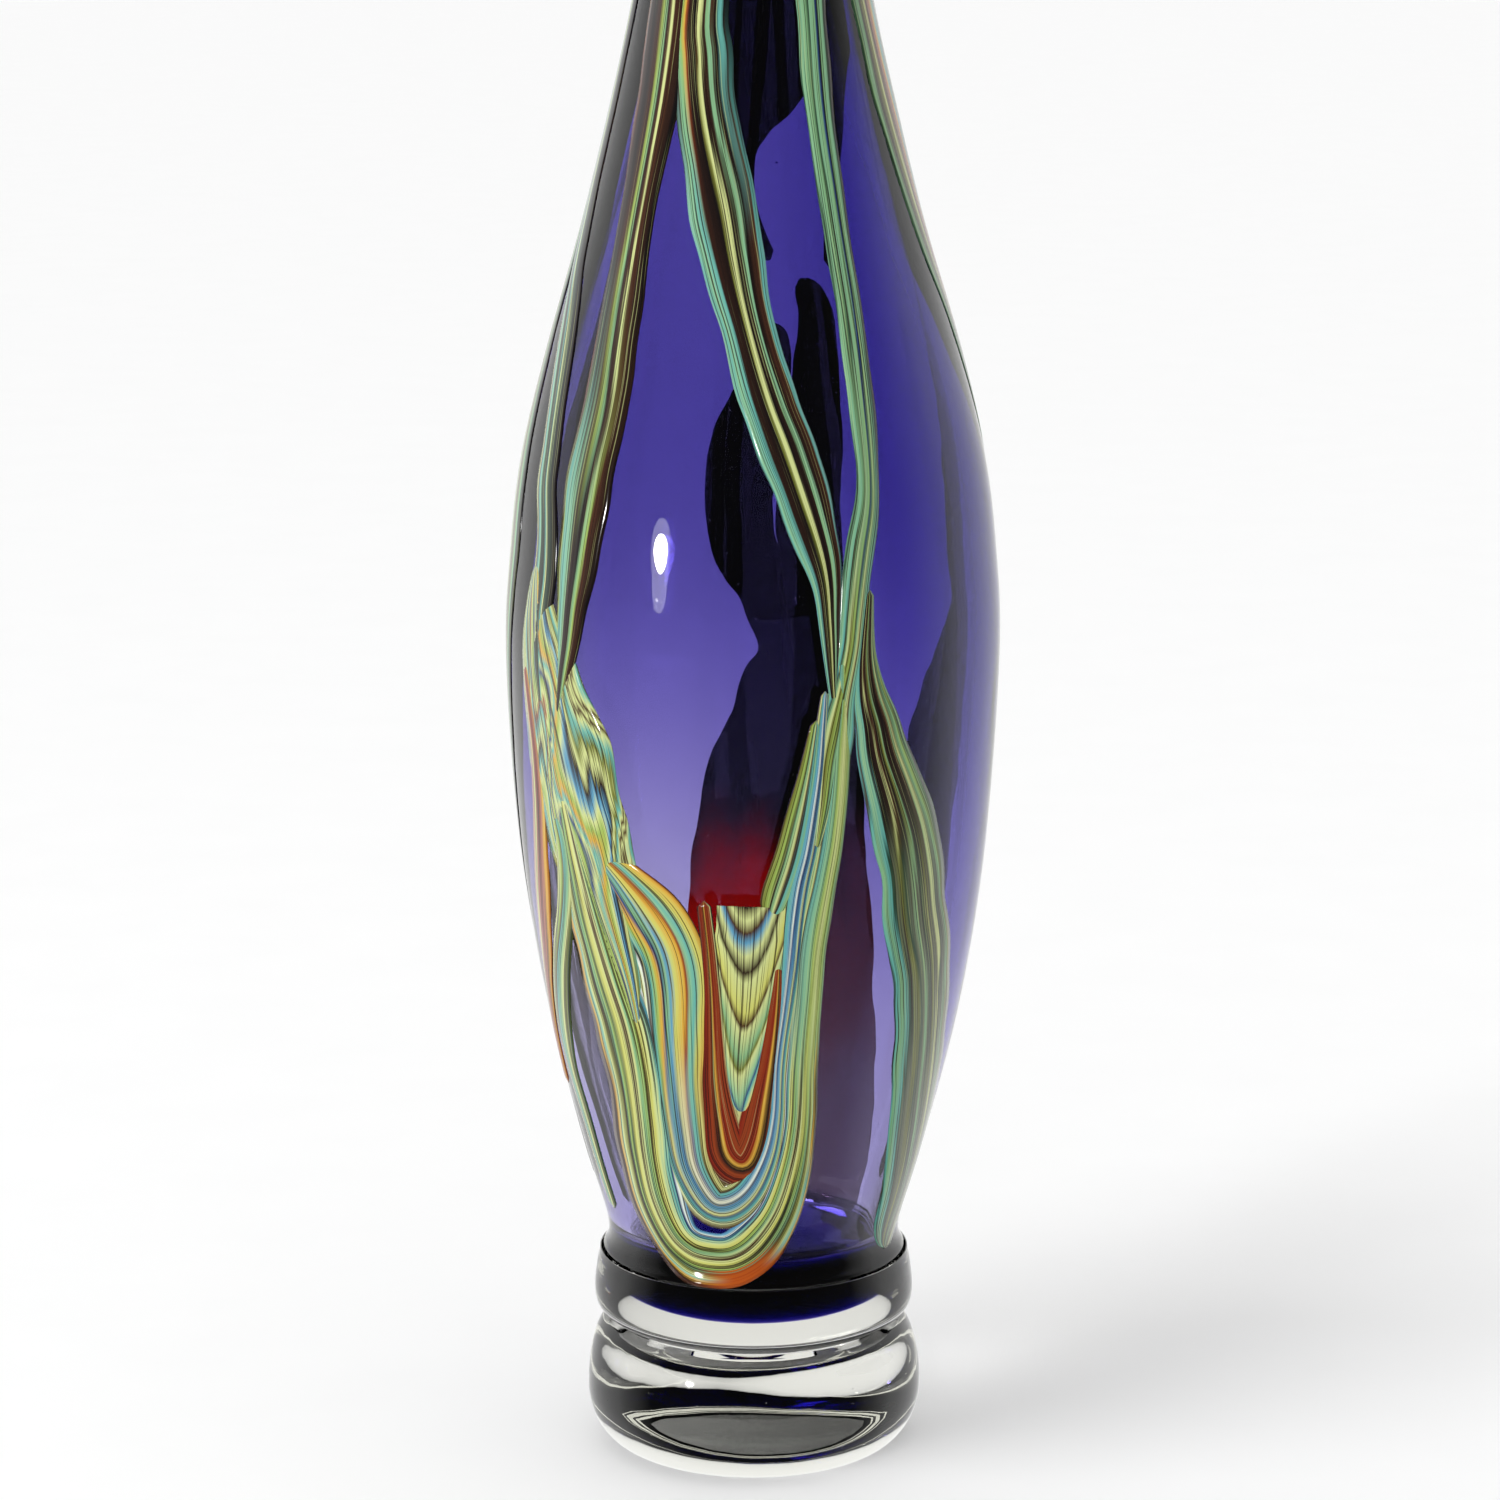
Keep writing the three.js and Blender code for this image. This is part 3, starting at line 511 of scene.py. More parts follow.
class Shader:
    """A material whose nodes are added one at a time."""

    def __init__(self, name):
        self.material = bpy.data.materials.new(name)
        self.material.use_nodes = True
        self.tree = self.material.node_tree
        self.tree.nodes.clear()
        self.output = self.tree.nodes.new("ShaderNodeOutputMaterial")

    def node(self, kind, settings=None, sockets=(), result=0):
        """Adds a node, with its settings made first and then its sockets' values or links."""
        made = self.tree.nodes.new(kind)
        for setting, value in (settings or {}).items():
            if setting == "stops":
                self.set_stops(made.color_ramp, value)
            else:
                setattr(made, setting, value)
        named = sockets.items() if isinstance(sockets, dict) else enumerate(sockets)
        for socket, value in named:
            if isinstance(value, Value):
                self.tree.links.new(value.socket, made.inputs[socket])
            else:
                made.inputs[socket].default_value = value
        return Value(self, made.outputs[result])

    @staticmethod
    def set_stops(ramp, stops):
        while len(ramp.elements) < len(stops):
            ramp.elements.new(0.5)
        for element, (place, colour) in zip(ramp.elements, stops):
            element.position = place
            element.color = colour

    def finish(self, surface, volume=None):
        self.tree.links.new(surface.socket, self.output.inputs["Surface"])
        if volume:
            self.tree.links.new(volume.socket, self.output.inputs["Volume"])
        return self.material

    # The parts of a recipe that more than one material uses.

    def place(self):
        """The point on the piece, as its x, y and z."""
        point = self.node("ShaderNodeTexCoord", result="Object")
        return point, [
            self.node("ShaderNodeSeparateXYZ", sockets=[point], result=axis) for axis in "XYZ"
        ]

    def vector(self, x, y, z):
        return self.node("ShaderNodeCombineXYZ", sockets=[x, y, z])

    def mist(self, vector, scale, detail):
        """Smooth noise, from 0 to 1."""
        return self.node("ShaderNodeTexNoise", sockets={
            "Vector": vector, "Scale": scale, "Detail": detail,
        })

    def curve(self, operation, *values):
        """One Math node that no sign of arithmetic stands for."""
        return self.node("ShaderNodeMath", {"operation": operation}, values)

    def bump(self, height, strength, depth):
        """The surface's direction, as a height that's this deep tips it."""
        return self.node("ShaderNodeBump", sockets={
            "Strength": strength, "Distance": depth, "Height": height,
        })

    def absorption(self, colour, depth):
        """Glass that colours the light that goes through it."""
        return self.node("ShaderNodeVolumeAbsorption", sockets={
            "Color": (*colour, 1), "Density": depth,
        })

    def ramp(self, factor, stops):
        return self.node("ShaderNodeValToRGB", {"stops": stops}, [factor])

    def fade(self, value, low, high, start=0.0, end=1.0):
        """Goes smoothly from start to end as a value goes from low to high."""
        return self.node(
            "ShaderNodeMapRange", {"interpolation_type": "SMOOTHSTEP"},
            {"Value": value, "From Min": low, "From Max": high, "To Min": start, "To Max": end},
        )

    def mix(self, factor, first, second):
        """Goes from the first colour to the second."""
        return self.node(
            "ShaderNodeMix", {"data_type": "RGBA"}, {0: factor, 6: first, 7: second}, 2,
        )

    def thinned(self, glass, height, cloud, colour):
        """Glass whose lower part lets coloured light through."""
        level = height + (cloud - 0.5) * OPENING_WANDER
        open_part = self.fade(level, *OPENING) * OPEN_SHARE
        upper = self.node("ShaderNodeBsdfTransparent", sockets={"Color": colour})
        lower = self.node("ShaderNodeBsdfTransparent", sockets={"Color": SMOKE})
        low_part = self.fade(level, *SMOKING)
        clear = self.node("ShaderNodeMixShader", sockets=[low_part, upper, lower])
        return self.node("ShaderNodeMixShader", sockets=[open_part, glass, clear])


# ---- Materials ----------------------------------------------------------------------------


# The depths of the ripples in the clear glass, the violet glass and the trails.
CLEAR_RIPPLE = 0.24 * MM
VIOLET_RIPPLE = 0.05 * MM
TRAIL_RIPPLE = 0.1 * MM
GLASS_IOR = 1.5


def clear_glass(name, settings, seams):
    """Clear blown glass, with the faces inside each seam's box fused and not seen."""
    shader = Shader(name)
    point, (x, y, z) = shader.place()
    radius = shader.node("ShaderNodeVectorMath", {"operation": "LENGTH"},
                         [shader.vector(x, y, 0.0)], "Value")
    seen = 1.0
    for reach, low, high in seams:
        inside = (radius < reach) * (z > low) * (z < high)
        seen = seen * (1 - inside) if isinstance(seen, Value) else 1 - inside
    swirl = shader.mist(shader.vector(x, y, z * 0.35), 38, 2)
    fine = shader.mist(shader.vector(x, y, z * 0.5), 160, 1)
    specks = shader.fade(shader.mist(point, 1400, 1), 0.74, 0.8)
    glass = shader.node("ShaderNodeBsdfPrincipled", sockets={
        "Base Color": PLAIN, "Roughness": specks * 0.25, "IOR": GLASS_IOR,
        "Transmission Weight": 1.0, "Alpha": seen,
        "Normal": shader.bump(swirl + fine * 0.12, 1.0, CLEAR_RIPPLE),
    })
    return shader.finish(glass, shader.absorption(settings.clear, settings.clear_depth))


def violet_glass(name, settings):
    """The violet layer, fused into the clear glass on both sides, so its faces don't bend light."""
    shader = Shader(name)
    _, (x, y, z) = shader.place()
    cords = shader.mist(shader.vector(x, y, z * 0.12), 60, 3)
    skin = shader.node("ShaderNodeBsdfPrincipled", sockets={
        "Base Color": PLAIN, "Roughness": 0.0, "IOR": 1.0, "Transmission Weight": 1.0,
        "Specular IOR Level": 0.0, "Normal": shader.bump(cords, 0.4, VIOLET_RIPPLE),
    })
    return shader.finish(skin, shader.absorption(settings.violet, settings.violet_depth))


def streaked_glass(name, trail, length, breadth, seed, thin):
    """Glass pulled into streaks that run along a trail, or combed into nested loops. It is opaque,
    but the lower part of a thin trail lets coloured light through."""
    shader = Shader(name)
    _, (_, _, z) = shader.place()
    uv = shader.node("ShaderNodeUVMap", {"uv_map": "streaks"})
    across, along = [
        shader.node("ShaderNodeSeparateXYZ", sockets=[uv], result=axis) for axis in "XY"
    ]
    reach = along * (length / MM)
    width = across * (breadth / MM)
    drift = shader.mist(shader.vector(width * 0.1, reach * 0.03, seed * 3.7), 1.0, 0)
    pull = shader.mist(shader.vector(width * 1.5, reach * 0.014, seed * 1.3), 1.0, 2)
    hair = shader.mist(shader.vector(width * 3.4, reach * 0.018, seed * 2.1), 1.0, 1)
    place = across + (drift - 0.5) * 0.2 + (pull - 0.5) * 0.12
    if trail.get("folds"):
        wave = shader.curve("SINE", reach * 0.17 + width * 0.22 + drift * 6)
        middle = shader.fade(along, 0.05, 0.3) * shader.fade(along, 0.55, 0.8, 1.0, 0.0)
        place = place + wave * middle * trail["folds"]
    if trail.get("combed"):
        side = across * 1.8 - 0.7
        nested = (along + side * side * 0.6) / 1.6
        place = nested + (drift - 0.5) * 0.06 + (pull - 0.5) * 0.02
    place = shader.curve("PINGPONG", place, 1.0)
    colour = shader.ramp(place, trail["streaks"])
    if trail.get("tail"):
        late = shader.ramp(place, trail["tail"])
        low, high = trail["change"] - 0.14, trail["change"] + 0.14
        turn = shader.fade(along + (drift - 0.5) * 0.2, low, high)
        colour = shader.mix(turn, colour, late)
    colour = shader.mix(shader.fade(hair, 0.545, 0.63) * 0.85, colour, UMBER)
    colour = shader.mix(shader.fade(hair, 0.37, 0.3) * 0.35, colour, CREAM)
    if trail.get("blush"):
        start, end, edge = trail["blush"]
        spot = shader.fade(along, start, start + 0.03) * shader.fade(along, end, end - 0.03)
        spot = spot * shader.fade(across + (pull - 0.5) * 0.5, edge, edge + 0.08)
        colour = shader.mix(spot, colour, shader.mix(hair, BRICK, ORANGE))
    glass = shader.node("ShaderNodeBsdfPrincipled", sockets={
        "Base Color": colour, "Roughness": 0.05 + pull * 0.1, "IOR": GLASS_IOR,
        "Coat Weight": 0.3, "Coat Roughness": 0.03,
        "Normal": shader.bump(pull + hair * 0.3, 0.5, TRAIL_RIPPLE),
    })
    if thin:
        glass = shader.thinned(glass, z, drift, thin)
    return shader.finish(glass)


def painted_shade_underside_glass(name, thin):
    """The trails' underside, which shows through the violet: painted shade, black and umber in place of
    the trail's streaks.
    """
    shader = Shader(name)
    point, (x, y, z) = shader.place()
    strand = shader.mist(shader.vector(x, y, z * 0.1), 260, 2)
    # The black-to-umber colour is painted shade, for the side of the trail that faces into the vase.
    glass = shader.node("ShaderNodeBsdfPrincipled", sockets={
        "Base Color": shader.mix(strand, BLACK, UMBER), "Roughness": 0.15 + strand * 0.2,
        "IOR": GLASS_IOR,
    })
    if thin:
        glass = shader.thinned(glass, z, shader.mist(point, 45, 3), thin)
    return shader.finish(glass)


# ---- Shapes -------------------------------------------------------------------------------


def smooth_line(points, steps=LINE_STEPS):
    """Points on a smooth curve that passes through the given ones."""
    knots = [Vector(point) for point in points]
    ends = [knots[0], *knots, knots[-1]]
    line = []
    for before, start, end, after in zip(ends, ends[1:], ends[2:], ends[3:]):
        leave = start + (end - before) / 6
        arrive = end - (after - start) / 6
        line += interpolate_bezier(start, leave, arrive, end, steps + 1)[:-1]
    return [*line, knots[-1]]


SIDE = [point * MM for point in smooth_line([(radius, height, 0) for radius, height in SIDE_OUTLINE])]


def share_of(value, start, span):
    """How much of a span from its start a value has covered, from 0 to 1."""
    return min(max((value - start) / span, 0), 1)


def side_radius(height):
    """The outer radius of the body at a height."""
    for low, high in zip(SIDE, SIDE[1:]):
        if high.y >= height:
            share = (height - low.y) / (high.y - low.y)
            return low.x + (high.x - low.x) * share
    return SIDE[-1].x


def quarter(start, end, level_first, steps=12):
    """A quarter of an ellipse, from level to upright or from upright to level."""
    points = []
    for step in range(steps + 1):
        turn = math.pi / 2 * step / steps
        across = math.sin(turn) if level_first else 1 - math.cos(turn)
        rise = 1 - math.cos(turn) if level_first else math.sin(turn)
        points.append((
            start[0] + (end[0] - start[0]) * across,
            start[1] + (end[1] - start[1]) * rise,
        ))
    return points


def wall_line(inset_at, bottom, start, flat=0.0):
    """The wall's surface at an inset, from the axis at its bottom up to the lip. A bowl leads
    from the bottom, which can be flat out to a radius, to the wall at its start."""
    wall = []
    for before, here, after in zip(SIDE, SIDE[1:], SIDE[2:]):
        along = (after - before).normalized()
        inset = inset_at(here.y)
        point = (here.x - inset * along.y, here.y + inset * along.x)
        if point[1] > start:
            wall.append(point)
    bowl = quarter((flat, bottom), wall[0], True, 16)
    axis = [(0.0, bottom)] if flat else []
    return [*axis, *bowl[:-1], *wall]


def rounded_lip(outer_end, inner_end):
    """The points of a half circle over the lip, between its outer and its inner end."""
    middle = (Vector(outer_end) + Vector(inner_end)) / 2
    spoke = Vector(outer_end) - middle
    points = []
    for step in range(1, LIP_ARC_STEPS):
        turn = math.pi * step / LIP_ARC_STEPS
        cosine, sine = math.cos(turn), math.sin(turn)
        points.append(tuple(middle + Vector((
            spoke.x * cosine - spoke.y * sine, spoke.x * sine + spoke.y * cosine,
        ))))
    return points


def turned(outline):
    """A solid of revolution, from an outline of radius and height that ends on the axis."""
    mesh = bmesh.new()
    points = [mesh.verts.new((radius, 0, height)) for radius, height in outline]
    edges = [mesh.edges.new(pair) for pair in zip(points, points[1:])]
    bmesh.ops.spin(
        mesh, geom=[*points, *edges], axis=(0, 0, 1), cent=(0, 0, 0), dvec=(0, 0, 0),
        angle=2 * math.pi, steps=TURNS, use_merge=True, use_duplicate=False,
    )
    bmesh.ops.remove_doubles(mesh, verts=mesh.verts, dist=0.002 * MM)
    bmesh.ops.recalc_face_normals(mesh, faces=mesh.faces)
    return mesh


def linked(name, data):
    """Makes an object of its data and puts it in the scene."""
    made = bpy.data.objects.new(name, data)
    bpy.context.scene.collection.objects.link(made)
    return made


def mesh_object(name, mesh, materials):
    """Makes an object from a mesh and its materials."""
    data = bpy.data.meshes.new(name)
    mesh.to_mesh(data)
    mesh.free()
    for material in materials:
        data.materials.append(material)
    return linked(name, data)


def piece(name, mesh, materials, node):
    """Makes a finished piece from a mesh: smooth, with its materials, in place of a CAD node."""
    for face in mesh.faces:
        face.smooth = True
    made = mesh_object(name, mesh, materials)
    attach(made, "root")
    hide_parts(node)
    return made


# ---- Operators ----------------------------------------------------------------------------


class VASE_OT_foot(bpy.types.Operator):
    """Make the clear foot, a thick pad with a ground hollow underneath."""

    bl_idname = "vase.foot"
    bl_label = "Clear foot"

    def execute(self, context):
        settings = context.scene.vase_glass
        outline = [
            *quarter((0.0, HOLLOW_DEPTH), (HOLLOW_RADIUS, 0.0), True, 10),
            *quarter((STANDING_RADIUS, 0.0), FOOT_WIDEST, True, 16),
            *quarter(FOOT_WIDEST, CREASE, False, 16)[1:],
            (SEAT_RADIUS, FOOT_TOP),
            (0.0, FOOT_TOP),
        ]
        mesh = turned(outline)
        for vertex in mesh.verts:
            angle = math.atan2(vertex.co.y, vertex.co.x)
            share = vertex.co.z / FOOT_TOP
            wobble = math.sin(2 * angle + 0.6) + 0.6 * math.sin(3 * angle + 2.2 * share)
            scale = 1 - FOOT_SHRINK + FOOT_WOBBLE * wobble * math.sin(math.pi * share)
            vertex.co.x *= scale
            vertex.co.y *= scale
        seams = [(SEAT_RADIUS - SEAM_SLACK, FOOT_TOP - SEAM_SLACK, FOOT_TOP + SEAM_SLACK)]
        glass = clear_glass("foot glass", settings, seams)
        foot = piece("foot_gather", mesh, [glass], "foot_pad")
        foot.visible_shadow = False
        return {"FINISHED"}


class VASE_OT_collar(bpy.types.Operator):
    """Make the clear collar, a cup between the foot and the body."""

    bl_idname = "vase.collar"
    bl_label = "Clear collar"

    def execute(self, context):
        settings = context.scene.vase_glass
        rim = (BODY_FOOT + CUP_GAP, COLLAR_TOP - CUP_RIM_DROP)
        body_seat = quarter((0.0, CASING_BOTTOM - CUP_GAP), rim, True, 20)
        # The collar's side in mm, from its seat through its widest ring to its rim.
        outer = smooth_line([
            (SEAT_RADIUS / MM + 1.2, COLLAR_BOTTOM / MM + 0.6, 0),
            (COLLAR_RADIUS / MM - 0.6, COLLAR_BOTTOM / MM + 2.6, 0),
            (COLLAR_RADIUS / MM, COLLAR_BOTTOM / MM + 6, 0),
            (COLLAR_RADIUS / MM - 0.5, COLLAR_TOP / MM - 4, 0),
            (COLLAR_RADIUS / MM - 1.1, COLLAR_TOP / MM - 1, 0),
            (rim[0] / MM + 0.3, COLLAR_TOP / MM, 0),
        ], 5)
        outline = [
            (0.0, COLLAR_BOTTOM), (SEAT_RADIUS, COLLAR_BOTTOM),
            *[(point.x * MM, point.y * MM) for point in outer],
            *reversed(body_seat),
        ]
        seams = [
            (SEAT_RADIUS + 0.1 * MM, COLLAR_BOTTOM - SEAM_SLACK, COLLAR_BOTTOM + SEAM_SLACK),
            (BODY_FOOT + 0.35 * MM, COLLAR_BOTTOM + 2 * MM, COLLAR_TOP + 1 * MM),
        ]
        glass = clear_glass("collar glass", settings, seams)
        collar = piece("collar_gather", turned(outline), [glass], "collar_cup")
        collar.visible_shadow = False
        return {"FINISHED"}


class VASE_OT_casing(bpy.types.Operator):
    """Make the clear casing of the body, from its buried bottom to its lip."""

    bl_idname = "vase.casing"
    bl_label = "Clear casing"

    def execute(self, context):
        settings = context.scene.vase_glass
        outer = wall_line(lambda height: CASING_INSET, CASING_BOTTOM, COLLAR_TOP)
        inner = wall_line(lambda height: wall_at(settings, height), HOLLOW_FLOOR, HOLLOW_BOWL_TOP)
        outline = [*outer, *rounded_lip(outer[-1], inner[-1]), *reversed(inner)]
        mesh = turned(outline)
        add_seeds(mesh)
        seams = [(BODY_FOOT + 1 * MM, CASING_BOTTOM - 1 * MM, COLLAR_TOP - CUP_GAP)]
        glass = clear_glass("casing glass", settings, seams)
        piece("casing_gather", mesh, [glass], "clear_casing")
        return {"FINISHED"}


def wall_at(settings, height):
    """The whole wall's thickness at a height, which thins towards the lip."""
    share = share_of(height, NECK_START, LIP_TOP - NECK_START)
    return settings.wall + (settings.lip_wall - settings.wall) * share


def add_seeds(mesh):
    """Tiny bubbles of air in the casing's wall."""
    noise.seed_set(11)
    for _ in range(SEED_COUNT):
        height = (SEED_HEIGHTS[0] + SEED_HEIGHTS[1] * noise.random()) * MM
        angle = 2 * math.pi * noise.random()
        depth = (SEED_DEPTHS[0] + SEED_DEPTHS[1] * noise.random()) * MM
        size = (SEED_SIZES[0] + SEED_SIZES[1] * noise.random() ** 2) * MM
        radius = side_radius(height) - depth
        spot = Matrix.Translation((radius * math.sin(angle), -radius * math.cos(angle), height))
        made = bmesh.ops.create_icosphere(mesh, subdivisions=1, radius=size, matrix=spot)
        faces = {face for vertex in made["verts"] for face in vertex.link_faces}
        bmesh.ops.reverse_faces(mesh, faces=list(faces))


class VASE_OT_bubble(bpy.types.Operator):
    """Make the violet bubble that lines the casing."""

    bl_idname = "vase.bubble"
    bl_label = "Violet bubble"

    def execute(self, context):
        settings = context.scene.vase_glass

        def inner_inset(height):
            return wall_at(settings, height) - SKIN

        def outer_inset(height):
            share = share_of(height, THICKENING_START, THICKENING_SPAN)
            share = share * share * (3 - 2 * share)
            low, high = settings.violet_layer_low, settings.violet_layer
            thick = (low + (high - low) * share) * wall_at(settings, height) / settings.wall
            return inner_inset(height) - thick

        outer = wall_line(outer_inset, VIOLET_BOTTOM, VIOLET_BOWL_TOP, VIOLET_FLAT)
        inner = wall_line(inner_inset, HOLLOW_FLOOR - SKIN, HOLLOW_BOWL_TOP)
        mesh = turned([*outer, *reversed(inner)])
        for vertex in mesh.verts:
            depth = side_radius(vertex.co.z) - math.hypot(vertex.co.x, vertex.co.y)
            is_outside = depth < wall_at(settings, vertex.co.z) - SKIN * 4
            if is_outside and vertex.co.z > LEAN_START:
                rise = share_of(vertex.co.z, LEAN_START, LEAN_SPAN)
                vertex.co.x += settings.violet_lean * rise
        piece("bubble_gather", mesh, [violet_glass("violet glass", settings)],
              "violet_bubble")
        return {"FINISHED"}


def lengths_along(line):
    """How far along a trail's route each of its points is, in metres."""
    lengths = [0.0]
    for start, end in zip(line, line[1:]):
        radius = side_radius((start.y + end.y) / 2 * MM)
        turn = math.radians(end.x - start.x) * radius
        lengths.append(lengths[-1] + math.hypot(turn, (end.y - start.y) * MM))
    return lengths


def lay_trail(settings, name, seed):
    """Makes one trail: a grid given a thickness and bent onto the glass along its route."""
    trail = TRAILS[name]
    line = smooth_line(trail["route"], ROUTE_STEPS)
    rows = len(line) - 1
    lengths = lengths_along(line)
    length = lengths[-1]
    mesh = bmesh.new()
    bmesh.ops.create_grid(mesh, x_segments=RIBBON_STRIPS, y_segments=rows, size=0.5)
    raised = bmesh.ops.extrude_face_region(mesh, geom=mesh.faces[:], use_keep_orig=True)
    for vertex in raised["geom"]:
        if isinstance(vertex, bmesh.types.BMVert):
            vertex.co.z = 1
    streaks = mesh.loops.layers.uv.new("streaks")
    for face in mesh.faces:
        for loop in face.loops:
            row = round((loop.vert.co.y + 0.5) * rows)
            loop[streaks].uv = (loop.vert.co.x + 0.5, lengths[row] / length)
    for face in mesh.faces:
        face.material_index = 0 if any(vertex.co.z > 0.5 for vertex in face.verts) else 1
    for vertex in mesh.verts:
        row = round((vertex.co.y + 0.5) * rows)
        sideways = 2 * vertex.co.x
        here = line[row]
        before, after = line[max(row - 1, 0)], line[min(row + 1, rows)]
        radius = side_radius(here.y * MM)
        heading = Vector((
            math.radians(after.x - before.x) * radius, (after.y - before.y) * MM,
        )).normalized()
        half = here.z / 2 * MM
        nearest = min(lengths[row], length - lengths[row])
        from_tip = min(nearest / half, 1)
        rounding = math.sqrt(max(1 - (1 - from_tip) ** 2, TIP_LEAST))
        if trail.get("combed") and lengths[row] < length / 2:
            rounding = max(rounding, BLUNT_END)
        if name in FAR_TRAILS:
            half *= 1 + NECK_WIDENING * share_of(here.y, WIDENING_START, WIDENING_SPAN)
        ripple = noise.noise(Vector((
            lengths[row] * EDGE_RIPPLES, seed * 7.0, 3.0 * (sideways > 0),
        )))
        reach = sideways * half * rounding * (1 + EDGE_RIPPLE * ripple * abs(sideways))
        height = here.y * MM + heading.x * reach
        height = min(max(height, TRAIL_LOWEST), TRAIL_HIGHEST)
        angle = math.radians(here.x) - heading.y * reach / radius
        crown = (1 - abs(sideways) ** CROWN_POWER) * rounding
        lift = settings.edge_rise + (settings.rise - settings.edge_rise) * crown
        out = side_radius(height) + (lift if vertex.co.z > 0.5 else -settings.sink)
        vertex.co = Vector((out * math.sin(angle), -out * math.cos(angle), height))
    bmesh.ops.recalc_face_normals(mesh, faces=mesh.faces)
    breadth = max(station[2] for station in trail["route"]) * MM
    plain = name.replace("_", " ")
    thin = THIN_TRAILS.get(name)
    top = streaked_glass(f"{plain} streaks", trail, length, breadth, seed, thin)
    # The underside material is painted shade: black and umber where the top shows its streaks.
    shaded_under_name = f"{plain} underside painted shade" if thin else "trail underside painted shade"
    under = bpy.data.materials.get(shaded_under_name) or painted_shade_underside_glass(shaded_under_name, thin)
    slot = "dark_streaked_glass" if name in DARK_TRAILS else "streaked_glass"
    piece(f"{name}_cane", mesh, [top, under], name)


def lay_trails(context, names):
    """Makes some of the trails, each with its place in the list as its seed."""
    for name in names:
        lay_trail(context.scene.vase_trails, name, list(TRAILS).index(name) + 1)
    return {"FINISHED"}


class VASE_OT_front_trails(bpy.types.Operator):
    """Lay the trails on the front of the vase."""

    bl_idname = "vase.front_trails"
    bl_label = "Front trails"

    def execute(self, context):
        return lay_trails(context, FRONT_TRAILS)


class VASE_OT_left_trails(bpy.types.Operator):
    """Lay the trails on the left of the vase."""

    bl_idname = "vase.left_trails"
    bl_label = "Left trails"

    def execute(self, context):
        return lay_trails(context, LEFT_TRAILS)


class VASE_OT_far_trails(bpy.types.Operator):
    """Lay the trails on the sides and the back of the vase."""

    bl_idname = "vase.far_trails"
    bl_label = "Side and back trails"

    def execute(self, context):
        return lay_trails(context, FAR_TRAILS)


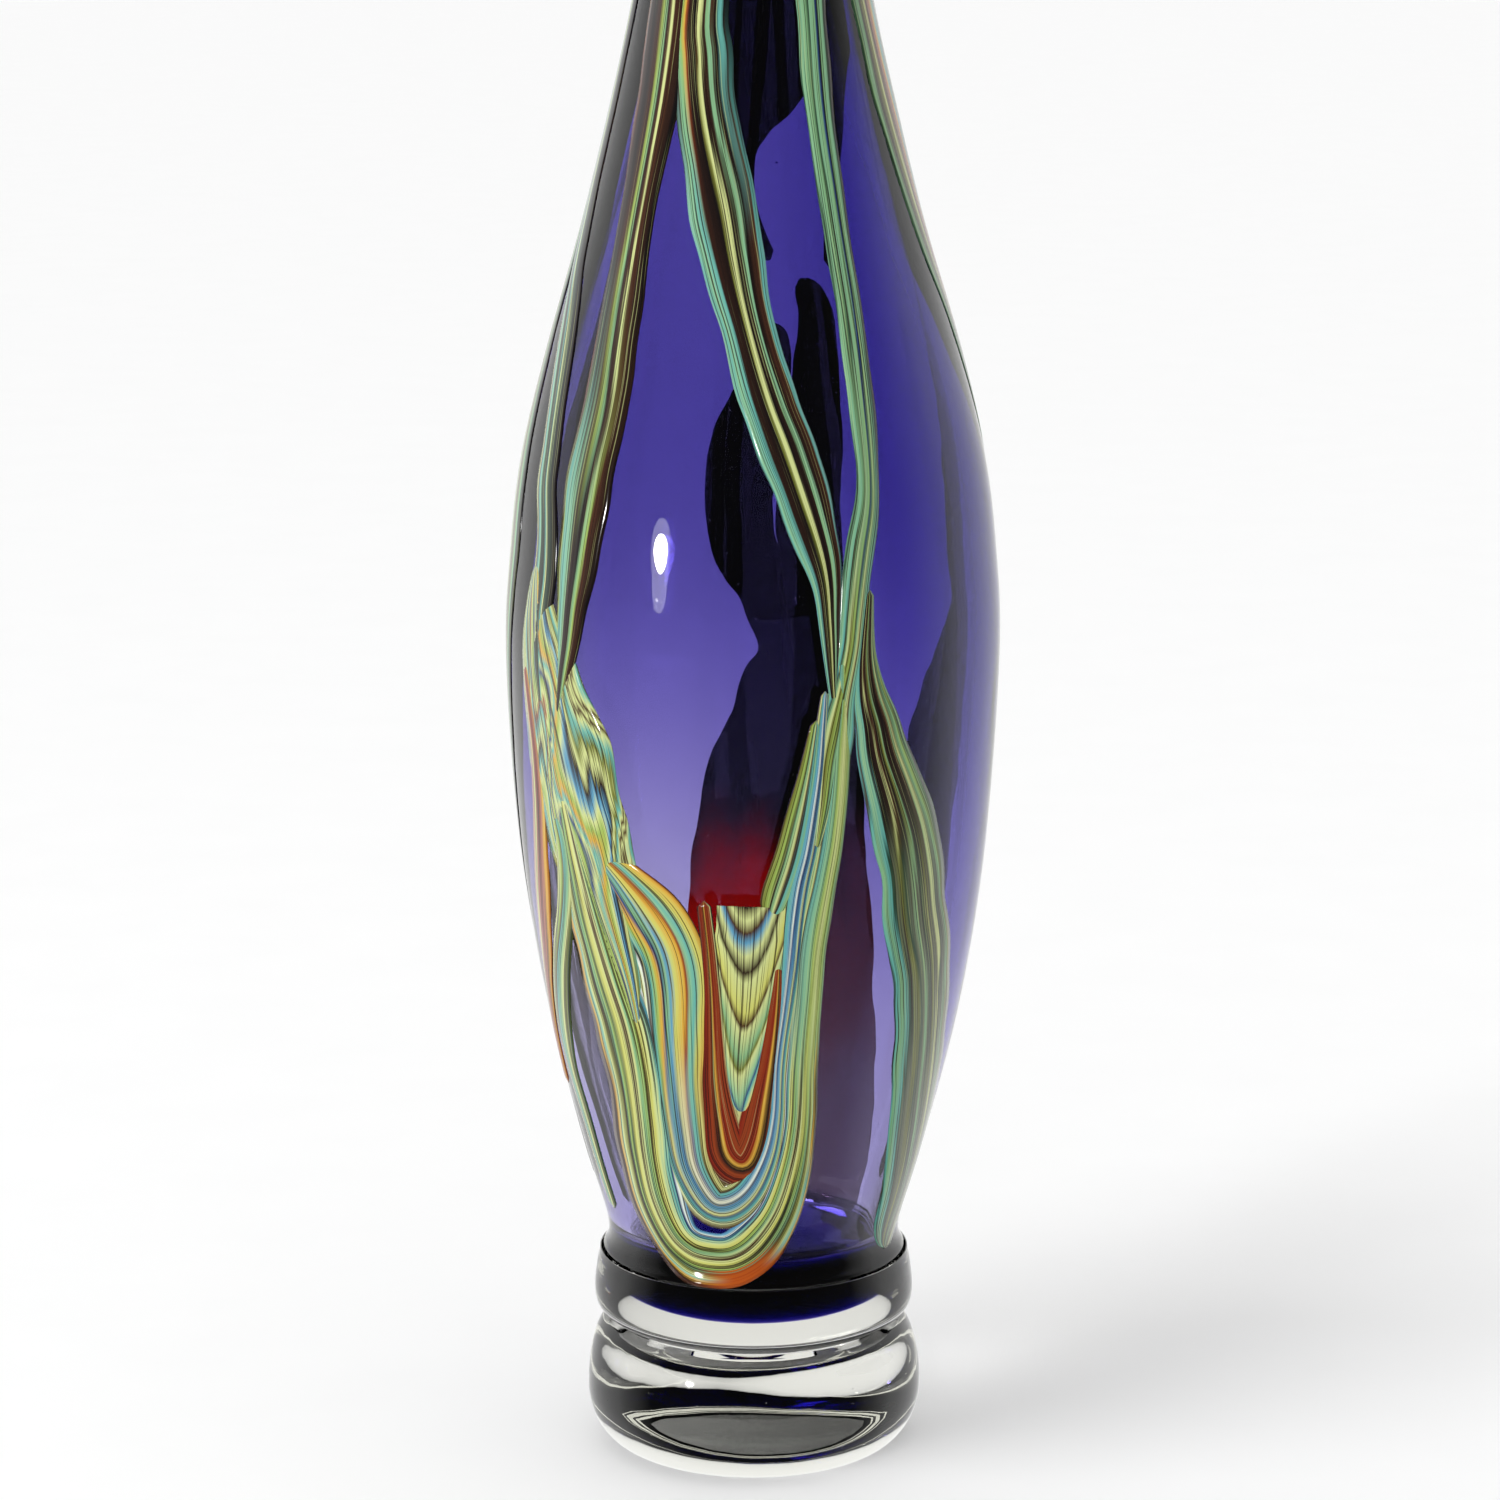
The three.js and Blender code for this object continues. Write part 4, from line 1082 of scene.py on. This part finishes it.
class VASE_OT_stage(bpy.types.Operator):
    """Set the pale floor, the soft lights and the camera."""

    bl_idname = "vase.stage"
    bl_label = "Stage"

    def execute(self, context):
        settings = context.scene.vase_stage
        mesh = bmesh.new()
        bmesh.ops.create_circle(
            mesh, cap_ends=True, segments=96, radius=settings.floor_radius,
        )
        shader = Shader("floor paint")
        point, _ = shader.place()
        grain = shader.mist(point, 30, 3)
        paint_coat = shader.node("ShaderNodeBsdfPrincipled", sockets={
            "Base Color": shader.mix(grain, *FLOOR_SHADES), "Roughness": 0.6 + grain * 0.2,
        })
        floor = mesh_object("floor", mesh, [shader.finish(paint_coat)])
        floor.visible_glossy = False
        self.light_room(context.scene, settings)
        self.add_window("window", WINDOW_PLACE, WINDOW_SIZE, settings.window_power)
        self.add_window("glow", GLOW_PLACE, GLOW_SIZE, settings.window_power * GLOW_SHARE)
        sun = linked("sun", bpy.data.lights.new("sun", "SUN"))
        sun.data.energy = settings.sun_strength
        sun.data.angle = math.radians(SUN_WIDTH)
        sun.rotation_euler = SUN_HEADING.to_track_quat("-Z", "Y").to_euler()
        sun.visible_glossy = False
        camera = linked("camera", bpy.data.cameras.new("camera"))
        camera.location = CAMERA_PLACE
        camera.rotation_euler = (math.radians(CAMERA_TILT), 0, 0)
        camera.data.lens = CAMERA_LENS
        camera.data.sensor_width = CAMERA_SENSOR
        context.scene.camera = camera
        context.scene.view_settings.view_transform = "Standard"
        return {"FINISHED"}

    def add_window(self, name, place, size, power):
        data = bpy.data.lights.new(name, "AREA")
        data.shape = "ELLIPSE"
        data.size, data.size_y = size
        data.energy = power
        lamp = linked(name, data)
        lamp.location = place
        aim = WINDOW_AIM - lamp.location
        lamp.rotation_euler = aim.to_track_quat("-Z", "Y").to_euler()

    def light_room(self, scene, settings):
        """A white room that's dim in front of the vase, so its reflections are faint there."""
        world = bpy.data.worlds.new("room")
        scene.world = world
        world.use_nodes = True
        tree = world.node_tree
        tree.nodes.clear()
        direction = tree.nodes.new("ShaderNodeTexCoord")
        split = tree.nodes.new("ShaderNodeSeparateXYZ")
        ramp = tree.nodes.new("ShaderNodeValToRGB")
        Shader.set_stops(ramp.color_ramp, ROOM_STOPS)
        shift = tree.nodes.new("ShaderNodeMapRange")
        shift.inputs["From Min"].default_value = -1.0
        shift.inputs["From Max"].default_value = 1.0
        path = tree.nodes.new("ShaderNodeLightPath")
        seen, lit, white = [tree.nodes.new("ShaderNodeBackground") for _ in range(3)]
        lit.inputs["Strength"].default_value = settings.room_light
        for background in (lit, white):
            background.inputs["Color"].default_value = PLAIN
        first, second = [tree.nodes.new("ShaderNodeMixShader") for _ in range(2)]
        output = tree.nodes.new("ShaderNodeOutputWorld")
        for source, result, target, socket in (
            (direction, "Generated", split, 0),
            (split, "Y", shift, "Value"),
            (shift, 0, ramp, 0),
            (ramp, 0, seen, "Color"),
            (path, "Is Diffuse Ray", first, 0),
            (seen, 0, first, 1),
            (lit, 0, first, 2),
            (path, "Is Camera Ray", second, 0),
            (first, 0, second, 1),
            (white, 0, second, 2),
            (second, 0, output, "Surface"),
        ):
            tree.links.new(source.outputs[result], target.inputs[socket])


class VASE_PT_panel(bpy.types.Panel):
    """The vase's settings and the steps that build it."""

    bl_idname = "VASE_PT_panel"
    bl_label = "Art Glass Vase"
    bl_space_type = "VIEW_3D"
    bl_region_type = "UI"
    bl_category = "Vase"

    def draw(self, context):
        for settings in (context.scene.vase_glass, context.scene.vase_trails,
                         context.scene.vase_stage):
            box = self.layout.box()
            for name in settings.__annotations__:
                box.prop(settings, name)
        for step in STEPS:
            self.layout.operator(step.bl_idname)


STEPS = [
    VASE_OT_stage, VASE_OT_foot, VASE_OT_collar, VASE_OT_casing, VASE_OT_bubble,
    VASE_OT_front_trails, VASE_OT_left_trails, VASE_OT_far_trails,
]
CLASSES = [GlassSettings, TrailSettings, StageSettings, *STEPS, VASE_PT_panel]


def register():
    for cls in CLASSES:
        bpy.utils.register_class(cls)
    bpy.types.Scene.vase_glass = PointerProperty(type=GlassSettings)
    bpy.types.Scene.vase_trails = PointerProperty(type=TrailSettings)
    bpy.types.Scene.vase_stage = PointerProperty(type=StageSettings)


def unregister():
    del bpy.types.Scene.vase_stage
    del bpy.types.Scene.vase_trails
    del bpy.types.Scene.vase_glass
    for cls in reversed(CLASSES):
        bpy.utils.unregister_class(cls)


def main():
    register()
    bpy.ops.vase.stage()
    bpy.ops.vase.foot()
    bpy.ops.vase.collar()
    bpy.ops.vase.casing()
    bpy.ops.vase.bubble()
    bpy.ops.vase.front_trails()
    bpy.ops.vase.left_trails()
    bpy.ops.vase.far_trails()


if __name__ == "__main__":
    main()
